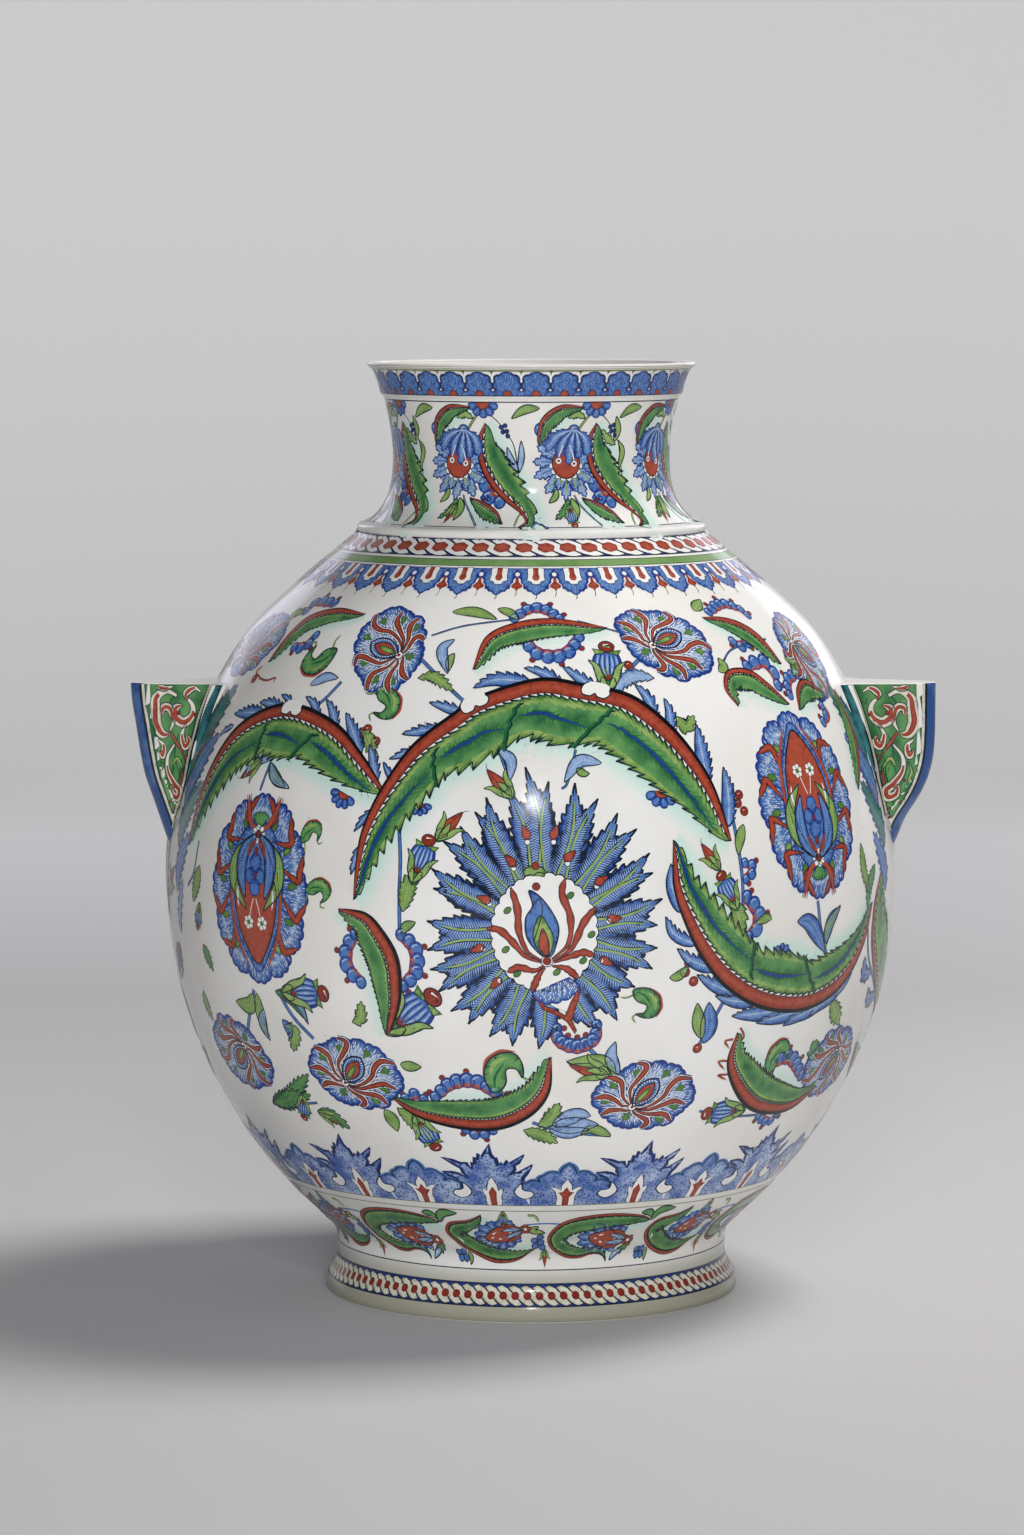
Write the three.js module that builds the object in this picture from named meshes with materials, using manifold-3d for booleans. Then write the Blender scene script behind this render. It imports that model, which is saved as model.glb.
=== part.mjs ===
// A large pottery vase with a swelling body, a short flared neck and two flat wing handles.
// It is thrown in sections that are luted together: a foot ring, a lower bowl, a shoulder and
// a neck. Each lower section has a raised tongue that centres the section above it.
// Millimetres, +Z up, origin on the vase's axis at the surface that it stands on.

import * as THREE from 'three';
import { mergeVertices } from 'three/addons/utils/BufferGeometryUtils.js';
import Module from 'manifold-3d';

const wasm = await Module();
wasm.setup();

// Heights of the sections, each measured from the top of the one below.
const footHeight = 34;
const bowlDepth = 242;
const shoulderRise = 216;
const collarHeight = 5.6;
const throatRise = 42.4;
const flareRise = 37;
const ledgeRise = 2.6;
const rimBandHeight = 15;
const lipHeight = 5.4;

// Outer radii of the foot, belly and throat, and the steps that lead from them.
const footRadius = 134;
const footSplay = 7.5;
const bellyRadius = 236.5;
const shoulderRadius = 111;
const collarStep = 1;
const neckInset = 4.8;
const throatRadius = 89.3;
const neckFlare = 5.5;
const ledgeStep = 2.6;
const rimBandFlare = 4.4;
const lipFlare = 4.1;

// Walls, floor and the bore inside the foot ring.
const bodyWall = 9;
const neckWall = 8;
const floorThickness = 14;
const footRingWall = 17.5;
const footBoreDraft = 4;

// The outer curves: the heel of the bowl, its fullness, and the turn of the shoulder.
const heelRise = 18;
const heelSpread = 11.5;
const bowlFullness = 144;
const turnDrop = 57;
const turnSpread = 66;
const turnAngle = THREE.MathUtils.degToRad(43.5);

// The lip.
const lipThickness = 6.5;
const lipRounding = 1.4;

// The joints: a tongue on the lower section, a rebate in the upper one.
const tongueHeight = 4;
const tongueWidth = 4.6;
const neckTongueInset = 7;
const spigotDepth = 6;
const clearance = 0.3;

// The wing handles stand a little in front of the sides, and taper outwards in plan.
const wingProjection = 22.5;
const wingTopRise = 119;
const wingTipRise = 15;
const wingStraight = 36;
const wingForwardAngle = THREE.MathUtils.degToRad(9.5);
const wingRootThickness = 44;
const wingEdgeThickness = 19;
const wingRounding = 4;
const wingFillet = 6;
const wingFilletWidth = 10;
const wingInset = 30;

// Heights above the ground and radii that follow from the sizes above.
const bellyHeight = footHeight + bowlDepth;
const shoulderHeight = bellyHeight + shoulderRise;
const neckStartHeight = shoulderHeight + collarHeight;
const throatHeight = neckStartHeight + throatRise;
const ledgeHeight = throatHeight + flareRise;
const rimBandBottom = ledgeHeight + ledgeRise;
const rimBandTop = rimBandBottom + rimBandHeight;
const totalHeight = rimBandTop + lipHeight;
const waistRadius = footRadius - footSplay;
const footBoreRadius = waistRadius - footRingWall;
const heelRadius = waistRadius + heelSpread;
const heelHeight = footHeight + heelRise;
const turnRadius = shoulderRadius + turnSpread;
const turnHeight = shoulderHeight - turnDrop;
const collarRadius = shoulderRadius + collarStep;
const neckStartRadius = shoulderRadius - neckInset;
const ledgeRadius = throatRadius + neckFlare;
const rimBandRadius = ledgeRadius + ledgeStep;
const lipRadius = rimBandRadius + rimBandFlare + lipFlare;
const wingReach = bellyRadius + wingProjection;
const wingTop = bellyHeight + wingTopRise;
const wingTip = bellyHeight + wingTipRise;

// Facets round the axis and along each curve.
const roundSides = 56;
const wingLevels = 14;
const noseSteps = 8;

// Finish: a white tin-like glaze over a pale body, seen without its painting.
const glazeWhite = 0xe9e7e2;
const handleBlue = 0x4a6ea3;
const glazeRoughness = 0.18;

const vector = (radius, height) => new THREE.Vector2(radius, height);

function cubic(start, startHandle, endHandle, end, steps) {
  const curve = new THREE.CubicBezierCurve(start, startHandle, endHandle, end);
  return curve.getPoints(steps);
}

// Moves an open profile sideways by a distance, inwards when its points run upwards.
function offsetProfile(points, distance) {
  return points.map((point, index) => {
    const before = points[Math.max(index - 1, 0)];
    const after = points[Math.min(index + 1, points.length - 1)];
    const along = after.clone().sub(before).normalize();
    return vector(point.x - along.y * distance, point.y + along.x * distance);
  });
}

function revolve(profile) {
  const geometry = new THREE.LatheGeometry(profile, roundSides);
  geometry.rotateX(Math.PI / 2);
  return geometry;
}

// The outer faces, each from its lower joint to its upper joint.
function waistCurve(steps) {
  return cubic(
    vector(waistRadius, footHeight),
    vector(waistRadius, footHeight + 0.55 * (heelHeight - footHeight)),
    vector(heelRadius - 0.5 * (heelRadius - waistRadius),
      heelHeight - 0.4 * (heelHeight - footHeight)),
    vector(heelRadius, heelHeight),
    steps,
  );
}

function bowlCurve(steps) {
  const turn = 0.035 * (bellyHeight - heelHeight);
  return cubic(
    vector(heelRadius, heelHeight),
    vector(heelRadius + turn, heelHeight + turn),
    vector(bellyRadius, bellyHeight - bowlFullness),
    vector(bellyRadius, bellyHeight),
    steps,
  );
}

function lowerOutside(waistSteps, bowlSteps) {
  return [...waistCurve(waistSteps), ...bowlCurve(bowlSteps).slice(1)];
}

function upperOutside(bellySteps, slopeSteps) {
  const rise = turnHeight - bellyHeight;
  const turnAlong = vector(-Math.sin(turnAngle), Math.cos(turnAngle));
  const turn = vector(turnRadius, turnHeight);
  const belly = cubic(
    vector(bellyRadius, bellyHeight),
    vector(bellyRadius, bellyHeight + 0.38 * rise),
    turn.clone().addScaledVector(turnAlong, -0.23 * rise),
    turn,
    bellySteps,
  );
  const top = cubic(
    turn,
    turn.clone().addScaledVector(turnAlong, 0.35 * turnDrop),
    vector(shoulderRadius + 0.28 * turnDrop, shoulderHeight - 0.2 * turnDrop),
    vector(shoulderRadius, shoulderHeight),
    slopeSteps,
  );
  return [...belly, ...top.slice(1)];
}

function neckOutside(lowerSteps, upperSteps) {
  const collar = cubic(
    vector(collarRadius, shoulderHeight),
    vector(collarRadius + 0.25 * collarHeight, shoulderHeight + 0.6 * collarHeight),
    vector(collarRadius, neckStartHeight),
    vector(neckStartRadius, neckStartHeight),
    4,
  );
  const lower = cubic(
    vector(neckStartRadius, neckStartHeight),
    vector(neckStartRadius - 0.69 * (neckStartRadius - throatRadius), neckStartHeight + 0.22 * throatRise),
    vector(throatRadius, throatHeight - 0.57 * throatRise),
    vector(throatRadius, throatHeight),
    lowerSteps,
  );
  const upper = cubic(
    vector(throatRadius, throatHeight),
    vector(throatRadius, throatHeight + 0.35 * flareRise),
    vector(ledgeRadius - 0.4 * neckFlare, ledgeHeight - 0.24 * flareRise),
    vector(ledgeRadius, ledgeHeight),
    upperSteps,
  );
  return [...collar, ...lower.slice(1), ...upper.slice(1)];
}

function makeFootRing() {
  const splay = cubic(
    vector(footRadius, 0.12 * footHeight),
    vector(footRadius - 0.1 * footSplay, 0.38 * footHeight),
    vector(waistRadius, 0.5 * footHeight),
    vector(waistRadius, 0.74 * footHeight),
    6,
  );
  return revolve([
    vector(footBoreRadius + footBoreDraft, 0),
    vector(footRadius - 1.6, 0),
    vector(footRadius - 0.4, 0.04 * footHeight),
    ...splay,
    vector(waistRadius, footHeight),
    vector(footBoreRadius, footHeight),
    vector(footBoreRadius + footBoreDraft, 0),
  ]);
}

// The bowl carries the floor, a spigot that drops into the foot ring, and a tongue on its rim.
function makeLowerBody() {
  const floorTop = footHeight + floorThickness;
  const inside = offsetProfile(bowlCurve(8), bodyWall).reverse();
  const innerRadius = bellyRadius - bodyWall;
  inside[0] = vector(innerRadius, bellyHeight);
  const heel = inside[inside.length - 1];
  const spigotRadius = footBoreRadius - clearance;
  return revolve([
    vector(0, footHeight - spigotDepth),
    vector(spigotRadius, footHeight - spigotDepth),
    vector(spigotRadius, footHeight),
    ...lowerOutside(4, 11),
    vector(innerRadius + tongueWidth, bellyHeight),
    vector(innerRadius + tongueWidth, bellyHeight + tongueHeight),
    vector(innerRadius, bellyHeight + tongueHeight),
    ...inside.slice(0, -1),
    heel,
    vector(heel.x - 0.12 * heel.x, floorTop + 0.2 * (heel.y - floorTop)),
    vector(0.75 * heel.x, floorTop),
    vector(0, floorTop),
  ]);
}

function makeUpperBody() {
  const inside = offsetProfile(upperOutside(7, 4), bodyWall);
  const innerRadius = bellyRadius - bodyWall;
  const tongueRadius = shoulderRadius - neckTongueInset;
  const boreRadius = neckStartRadius - neckWall;
  const rebateTop = bellyHeight + tongueHeight + clearance;
  const innerFace = inside.filter(({ x, y }) => y > rebateTop + 2 && x > boreRadius + 2);
  return revolve([
    ...upperOutside(8, 5),
    vector(tongueRadius, shoulderHeight),
    vector(tongueRadius, shoulderHeight + tongueHeight),
    vector(boreRadius, shoulderHeight + tongueHeight),
    vector(boreRadius, shoulderHeight - tongueHeight),
    ...innerFace.reverse(),
    vector(innerRadius, rebateTop),
    vector(innerRadius + tongueWidth + clearance, rebateTop),
    vector(innerRadius + tongueWidth + clearance, bellyHeight),
    vector(bellyRadius, bellyHeight),
  ]);
}

function makeNeck() {
  const outside = neckOutside(6, 4);
  const bandEnd = rimBandRadius + rimBandFlare;
  const mouthRadius = lipRadius - lipThickness;
  const boreRadius = neckStartRadius - neckWall;
  const rebateRadius = shoulderRadius - neckTongueInset + clearance;
  const rebateTop = shoulderHeight + tongueHeight + clearance;
  const band = cubic(
    vector(rimBandRadius, rimBandBottom + 0.3 * ledgeRise),
    vector(rimBandRadius + 0.2 * rimBandFlare, rimBandBottom + 0.4 * rimBandHeight),
    vector(bandEnd - 0.3 * rimBandFlare, rimBandTop - 0.25 * rimBandHeight),
    vector(bandEnd, rimBandTop),
    3,
  );
  const inside = offsetProfile(outside, neckWall)
    .filter(({ y }) => y > rebateTop + 2 && y < ledgeHeight - 3);
  return revolve([
    ...outside,
    vector(rimBandRadius - 0.2 * ledgeStep, rimBandBottom),
    ...band,
    vector(lipRadius, totalHeight - lipRounding),
    vector(lipRadius - 0.3 * lipRounding, totalHeight - 0.3 * lipRounding),
    vector(lipRadius - lipRounding, totalHeight),
    vector(mouthRadius + lipRounding, totalHeight),
    vector(mouthRadius, totalHeight - lipRounding),
    vector(rimBandRadius - neckWall + 0.5 * rimBandFlare, rimBandBottom + 0.5 * rimBandHeight),
    vector(ledgeRadius - neckWall, ledgeHeight),
    ...inside.reverse(),
    vector(boreRadius, rebateTop),
    vector(rebateRadius, rebateTop),
    vector(rebateRadius, shoulderHeight),
    vector(collarRadius, shoulderHeight),
  ]);
}

// Outer radius of the body at a height, read between the points of its outer face.
const bodyOutside = [...lowerOutside(4, 11), ...upperOutside(8, 5).slice(1)];

function bodyRadiusAt(height) {
  const above = bodyOutside.findIndex(({ y }) => y >= height);
  const low = bodyOutside[Math.max(above - 1, 0)];
  const high = bodyOutside[Math.max(above, 1)];
  return low.x + (high.x - low.x) * (height - low.y) / (high.y - low.y);
}

// Half the wing's thickness at a distance from the axis, before its root fillet.
const wingRootRadius = bodyRadiusAt(wingTop);

function wingHalfThickness(radius) {
  const share = (radius - wingRootRadius) / (wingReach - wingRootRadius);
  return (wingRootThickness + (wingEdgeThickness - wingRootThickness) * share) / 2;
}

// One horizontal section of the wing: a tapered tongue with a round nose.
function wingSection(nose, height, inset) {
  const root = bodyRadiusAt(height);
  const half = (radius) => wingHalfThickness(radius) - inset;
  const noseHalf = half(nose);
  const noseCentre = nose - inset - noseHalf;
  const side = [-wingInset, 0, 0.25 * wingFilletWidth, 0.55 * wingFilletWidth, wingFilletWidth]
    .map((step) => {
      const share = 1 - Math.max(step, 0) / wingFilletWidth;
      return vector(root + step, half(root + step) + wingFillet * share * share);
    })
    .filter((point, index) => index < 1 || point.x < noseCentre - 1);
  while (side.length < 5) side.push(side[side.length - 1].clone().lerp(vector(noseCentre, noseHalf), 0.5));
  const front = side.map(({ x, y }) => vector(x, -y));
  const tip = [];
  for (let step = 0; step <= noseSteps; step += 1) {
    const angle = Math.PI * (step / noseSteps - 0.5);
    tip.push(vector(noseCentre + noseHalf * Math.cos(angle), noseHalf * Math.sin(angle)));
  }
  return [...front, ...tip, ...side.reverse()]
    .map((point) => point.rotateAround(vector(0, 0), -wingForwardAngle))
    .map(({ x, y }) => new THREE.Vector3(x, y, height));
}

// Joins closed sections of equal length into one solid, with a flat cap at each end.
function loft(sections) {
  const count = sections[0].length;
  const indices = [];
  for (let level = 0; level < sections.length - 1; level += 1) {
    for (let i = 0; i < count; i += 1) {
      const a = level * count + i;
      const b = level * count + (i + 1) % count;
      indices.push(a, b, b + count, a, b + count, a + count);
    }
  }
  const topStart = (sections.length - 1) * count;
  const flatSection = sections[0].map(({ x, y }) => vector(x, y));
  const flatTop = sections[sections.length - 1].map(({ x, y }) => vector(x, y));
  for (const [a, b, c] of THREE.ShapeUtils.triangulateShape(flatSection, [])) indices.push(a, c, b);
  for (const [a, b, c] of THREE.ShapeUtils.triangulateShape(flatTop, [])) {
    indices.push(topStart + a, topStart + b, topStart + c);
  }
  const geometry = new THREE.BufferGeometry().setFromPoints(sections.flat());
  geometry.setIndex(indices);
  return geometry;
}

function toManifold(geometry) {
  const bare = geometry.clone();
  bare.deleteAttribute('normal');
  bare.deleteAttribute('uv');
  const merged = mergeVertices(bare);
  return new wasm.Manifold(new wasm.Mesh({
    numProp: 3,
    vertProperties: merged.attributes.position.array,
    triVerts: new Uint32Array(merged.index.array),
  }));
}

function fromManifold(solid) {
  const mesh = solid.getMesh();
  const geometry = new THREE.BufferGeometry();
  geometry.setAttribute('position', new THREE.BufferAttribute(mesh.vertProperties, 3));
  geometry.setIndex(new THREE.BufferAttribute(mesh.triVerts, 1));
  return geometry;
}

// The right wing. Its outer edge drops straight, then sweeps in to a tip on the belly.
function makeWing() {
  const sweepStart = wingTop - wingStraight;
  const tipRadius = bodyRadiusAt(wingTip);
  const low = wingTip - 0.12 * (sweepStart - wingTip);
  const sweep = cubic(
    vector(tipRadius - 4, low),
    vector(tipRadius + 2, wingTip + 0.1 * (sweepStart - wingTip)),
    vector(wingReach, wingTip + 0.45 * (sweepStart - wingTip)),
    vector(wingReach + wingEdgeThickness / 6, sweepStart),
    wingLevels,
  );
  const sections = sweep.map(({ x, y }) => wingSection(x, y, 0));
  const roundingSteps = 3;
  const nose = wingReach + wingEdgeThickness / 6;
  for (let step = 0; step <= roundingSteps; step += 1) {
    const angle = (Math.PI / 2) * (step / roundingSteps);
    const height = wingTop - wingRounding * (1 - Math.sin(angle));
    sections.push(wingSection(nose, height, wingRounding * (1 - Math.cos(angle))));
  }
  const slab = toManifold(loft(sections));
  const clearOutside = offsetProfile(bodyOutside, -clearance);
  const body = toManifold(revolve([
    vector(0, clearOutside[0].y),
    ...clearOutside,
    vector(0, clearOutside[clearOutside.length - 1].y),
  ]));
  return fromManifold(slab.subtract(body));
}

// The left wing is the right one seen in a mirror.
function mirrored(geometry) {
  const copy = geometry.clone();
  copy.scale(-1, 1, 1);
  const index = copy.index.array.slice();
  for (let i = 0; i < index.length; i += 3) {
    const first = index[i];
    index[i] = index[i + 1];
    index[i + 1] = first;
  }
  copy.setIndex(new THREE.BufferAttribute(index, 1));
  return copy;
}

const vase = new THREE.Group();

function addPiece(name, geometry, color) {
  const material = new THREE.MeshStandardMaterial({ color, roughness: glazeRoughness, metalness: 0 });
  const mesh = new THREE.Mesh(geometry, material);
  mesh.name = name;
  vase.add(mesh);
}

const wing = makeWing();
addPiece('foot_ring', makeFootRing(), glazeWhite);
addPiece('lower_body', makeLowerBody(), glazeWhite);
addPiece('upper_body', makeUpperBody(), glazeWhite);
addPiece('neck', makeNeck(), glazeWhite);
addPiece('right_handle', wing, handleBlue);
addPiece('left_handle', mirrored(wing), handleBlue);

export default vase;
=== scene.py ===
import math

import bmesh
import bpy
import numpy as np
from bpy.props import FloatProperty, FloatVectorProperty, IntProperty, PointerProperty
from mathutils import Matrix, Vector
from mathutils.geometry import delaunay_2d_cdt


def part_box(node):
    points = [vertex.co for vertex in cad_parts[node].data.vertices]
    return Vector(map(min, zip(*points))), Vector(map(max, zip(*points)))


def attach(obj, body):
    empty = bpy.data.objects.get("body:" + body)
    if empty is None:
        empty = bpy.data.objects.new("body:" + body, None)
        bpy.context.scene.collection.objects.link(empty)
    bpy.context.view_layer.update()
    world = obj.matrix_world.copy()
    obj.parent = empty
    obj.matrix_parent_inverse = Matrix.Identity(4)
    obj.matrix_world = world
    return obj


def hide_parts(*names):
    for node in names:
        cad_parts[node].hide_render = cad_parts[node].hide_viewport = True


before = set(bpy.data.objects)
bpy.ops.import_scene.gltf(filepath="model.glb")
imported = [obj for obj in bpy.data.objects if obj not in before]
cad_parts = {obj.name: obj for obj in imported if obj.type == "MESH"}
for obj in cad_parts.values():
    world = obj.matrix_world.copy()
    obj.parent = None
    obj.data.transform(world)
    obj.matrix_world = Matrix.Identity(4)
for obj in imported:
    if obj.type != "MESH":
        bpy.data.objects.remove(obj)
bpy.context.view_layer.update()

bl_info = {
    "name": "Painted Wing-Handled Vase",
    "version": (1, 0, 0),
    "blender": (4, 5, 0),
    "location": "View3D > Sidebar > Vase",
    "description": "Builds a large glazed vase with its leaf and flower painting",
    "category": "Add Mesh",
}

MM = 0.001
ROUND = 256
FRONT = 0.0
BACK = 180.0


def linear(colour):
    """sRGB hex text to linear red, green, blue and alpha."""
    parts = [int(colour[i:i + 2], 16) / 255 for i in (1, 3, 5)]
    parts = [c / 12.92 if c <= 0.04045 else ((c + 0.055) / 1.055) ** 2.4 for c in parts]
    return (*parts, 1.0)


def colour_property(name, colour, description):
    return FloatVectorProperty(
        name=name, description=description, subtype="COLOR", size=4, min=0.0, max=1.0,
        default=linear(colour))


def length_property(name, metres, description):
    return FloatProperty(
        name=name, description=description, subtype="DISTANCE", unit="LENGTH", min=0.0,
        default=metres, precision=4)


class VaseSizes(bpy.types.PropertyGroup):
    """Sizes of the vase's sections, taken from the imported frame."""
    foot_radius: length_property("Foot radius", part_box("foot_ring")[1].y, "Widest radius of the foot")
    foot_height: length_property("Foot height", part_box("foot_ring")[1].z, "Height of the foot ring")
    belly_radius: length_property("Belly radius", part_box("upper_body")[1].y, "Widest radius of the body")
    belly_height: length_property("Belly height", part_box("upper_body")[0].z, "Height of the widest place")
    shoulder_height: length_property("Shoulder height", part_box("neck")[0].z, "Height of the neck's seat")
    total_height: length_property("Total height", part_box("neck")[1].z, "Height of the lip")
    body_wall: length_property("Body wall", 0.009, "Thickness of the bowl and the shoulder")
    neck_wall: length_property("Neck wall", 0.008, "Thickness of the neck")
    glaze_inset: length_property("Glaze inset", 0.00042, "Room kept for the paint under the outer size")
    wing_projection: length_property("Wing projection", 0.0225, "Reach of a handle past the belly")
    wing_top_rise: length_property("Wing top", 0.119, "Height of a handle's top over the belly seam")
    wing_tip_rise: length_property("Wing tip", 0.015, "Height of a handle's tip over the belly seam")
    wing_root: length_property("Wing root thickness", 0.044, "Thickness of a handle where it leaves the body")
    wing_edge: length_property("Wing edge thickness", 0.019, "Thickness of a handle at its outer edge")
    wing_forward: FloatProperty(
        name="Wing forward angle", description="Turn of a handle towards the front", subtype="ANGLE",
        unit="ROTATION", default=math.radians(9.5))
    round_steps: IntProperty(name="Round steps", description="Facets round the axis", default=256, min=16)


class VaseColours(bpy.types.PropertyGroup):
    """Glaze and pigment colours."""
    glaze: colour_property("Glaze", "#EAE9E7", "White ground under the clear glaze")
    glaze_warm: colour_property("Warm glaze", "#DEDAD2", "Where the ground is thin over the clay")
    cobalt: colour_property("Cobalt", "#1F3C88", "Strong cobalt wash")
    cobalt_pale: colour_property("Pale cobalt", "#486CA8", "Thin cobalt wash")
    ink: colour_property("Ink", "#090C12", "Drawn outline, a blue black")
    green: colour_property("Green", "#27623A", "Copper green wash")
    green_pale: colour_property("Leaf green", "#4C7836", "Thin yellow green wash")
    red: colour_property("Bole red", "#84301F", "Thick red slip, slightly raised")
    teal: colour_property("Teal", "#12384C", "Green run into cobalt")
    halo: colour_property("Copper bleed", "#C4E2D8", "Turquoise tint round the copper green")
    # On the rim this buff is the bare clay's own colour; on the foot it is also painted shade for the shaded
    # foot.
    clay: colour_property("Bare clay", "#989682", "Worn and thinly glazed edges")


# The outer face as a curve.

def cubic(start, first, second, end, steps):
    """Points of a cubic curve through radius and height in metres."""
    t = np.linspace(0.0, 1.0, steps + 1)[:, None]
    a, b, c, d = (np.array(p, float) for p in (start, first, second, end))
    return (1 - t) ** 3 * a + 3 * (1 - t) ** 2 * t * b + 3 * (1 - t) * t * t * c + t ** 3 * d


def foot_outside(size):
    top = size.foot_height
    foot = size.foot_radius
    waist = foot - 7.5 * MM
    edge = np.array([(foot - 1.6 * MM, 0.0), (foot - 0.4 * MM, 0.04 * top)])
    splay = cubic((foot, 0.12 * top), (foot - 0.75 * MM, 0.38 * top), (waist, 0.5 * top),
                  (waist, 0.74 * top), 16)
    return np.concatenate([edge, splay, [(waist, top)]])


def lower_outside(size):
    waist = size.foot_radius - 7.5 * MM
    heel = waist + 11.5 * MM
    low = size.foot_height
    heel_height = low + 18 * MM
    turn = 0.035 * (size.belly_height - heel_height)
    waist_curve = cubic((waist, low), (waist, low + 9.9 * MM), (heel - 5.75 * MM, heel_height - 7.2 * MM),
                        (heel, heel_height), 12)
    bowl = cubic((heel, heel_height), (heel + turn, heel_height + turn),
                 (size.belly_radius, size.belly_height - 144 * MM),
                 (size.belly_radius, size.belly_height), 110)
    return np.concatenate([waist_curve, bowl[1:]])


def upper_outside(size):
    shoulder = 111 * MM
    drop = 57 * MM
    turn = np.array([shoulder + 66 * MM, size.shoulder_height - drop])
    rise = turn[1] - size.belly_height
    angle = math.radians(43.5)
    along = np.array([-math.sin(angle), math.cos(angle)])
    belly = cubic((size.belly_radius, size.belly_height),
                  (size.belly_radius, size.belly_height + 0.38 * rise),
                  turn - along * 0.23 * rise, turn, 80)
    slope = cubic(turn, turn + along * 0.35 * drop,
                  (shoulder + 0.28 * drop, size.shoulder_height - 0.2 * drop),
                  (shoulder, size.shoulder_height), 30)
    return np.concatenate([belly, slope[1:]])


def neck_outside(size):
    low = size.shoulder_height
    collar = 112 * MM
    start = 106.2 * MM
    throat = 89.3 * MM
    ledge = throat + 5.5 * MM
    band = ledge + 2.6 * MM
    start_height = low + 5.6 * MM
    throat_height = start_height + 42.4 * MM
    ledge_height = throat_height + 37 * MM
    band_low = ledge_height + 2.6 * MM
    band_high = band_low + 15 * MM
    band_end = band + 4.4 * MM
    lip = band_end + 4.1 * MM
    top = size.total_height
    return np.concatenate([
        cubic((collar, low), (collar + 1.4 * MM, low + 3.4 * MM), (collar, start_height),
              (start, start_height), 10),
        cubic((start, start_height), (start - 11.7 * MM, start_height + 9.3 * MM),
              (throat, throat_height - 24.2 * MM), (throat, throat_height), 24)[1:],
        cubic((throat, throat_height), (throat, throat_height + 13 * MM),
              (ledge - 2.2 * MM, ledge_height - 8.9 * MM), (ledge, ledge_height), 18)[1:],
        cubic((ledge + 0.4 * MM, ledge_height + 0.6 * MM), (ledge + 1.6 * MM, band_low - 0.6 * MM),
              (band - 0.3 * MM, band_low - 0.2 * MM), (band, band_low + 0.8 * MM), 6),
        cubic((band, band_low + 0.8 * MM), (band + 0.9 * MM, band_low + 6 * MM),
              (band_end - 1.3 * MM, band_high - 3.8 * MM), (band_end, band_high), 8)[1:],
        cubic((band_end, band_high), (band_end + 1.2 * MM, band_high + 1.4 * MM),
              (lip, top - 3.2 * MM), (lip, top - 1.4 * MM), 6)[1:],
    ])


def leftward(along):
    """Unit vectors a quarter turn to the left of the given ones."""
    along = along / np.maximum(np.linalg.norm(along, axis=1), 1e-9)[:, None]
    return np.stack([-along[:, 1], along[:, 0]], axis=1)


def left_of(points):
    """Unit directions to the left of travel along a curve."""
    return leftward(np.gradient(points, axis=0))


def run_of(points):
    """The distance travelled along a curve at each of its points."""
    return np.concatenate([[0.0], np.cumsum(np.linalg.norm(np.diff(points, axis=0), axis=1))])


def offset_inwards(points, distance):
    """Moves an upward running profile towards the axis by a wall's thickness."""
    return points + distance * left_of(points)


class Skin:
    """The painted outer face, read by the distance climbed along its outline."""

    def __init__(self, size):
        points = np.concatenate([f(size) for f in (foot_outside, lower_outside, upper_outside, neck_outside)])
        points[:, 0] -= size.glaze_inset
        keep = np.concatenate([[True], np.linalg.norm(np.diff(points, axis=0), axis=1) > 0.05 * MM])
        points = points[keep]
        self.climb = run_of(points)
        self.radius, self.height = points.T
        self.out, self.up = -leftward(np.gradient(points, self.climb, axis=0)).T

    def climb_of(self, millimetres):
        """The climb at a height in millimetres over the foot."""
        return float(self.climb_at(millimetres * MM))

    def climb_at(self, height):
        return np.interp(height, self.height, self.climb)

    def radius_at(self, climb):
        return np.interp(climb, self.climb, self.radius)

    def wrap(self, angle, climb, lift):
        """Places and outward directions of points at an angle round the axis, 0 in front."""
        radius, height, out, up = (
            np.interp(climb, self.climb, curve) for curve in (self.radius, self.height, self.out, self.up))
        side = np.stack([np.sin(angle), -np.cos(angle)], axis=1)
        normal = np.concatenate([side * out[:, None], up[:, None]], axis=1)
        normal /= np.linalg.norm(normal, axis=1)[:, None]
        place = np.concatenate([side * radius[:, None], height[:, None]], axis=1)
        return place + normal * lift, normal


class Chart:
    """Maps a motif's own millimetres, x to the right and y up, onto the skin."""

    def __init__(self, skin, azimuth, height, turn=0.0, scale=(1.0, 1.0), radius=None):
        self.skin = skin
        self.angle = math.radians(azimuth)
        self.climb = skin.climb_of(height)
        self.turn = math.radians(turn)
        self.scale = scale
        self.radius = radius

    def surface(self, points, lift):
        x = points[:, 0] * self.scale[0]
        y = points[:, 1] * self.scale[1]
        across = x * math.cos(self.turn) - y * math.sin(self.turn)
        along = x * math.sin(self.turn) + y * math.cos(self.turn)
        climb = self.climb + along * MM
        radius = self.skin.radius_at(climb) if self.radius is None else self.radius
        return self.skin.wrap(self.angle + across * MM / radius, climb, lift)

    def local(self, azimuth, height):
        """Chart millimetres of a place on the skin, for a chart that isn't turned."""
        climb = self.skin.climb_of(height)
        radius = float(self.skin.radius_at(climb))
        return (math.radians(azimuth) - self.angle) * radius / MM, (climb - self.climb) / MM


# Curves in a motif's own millimetres.

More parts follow.
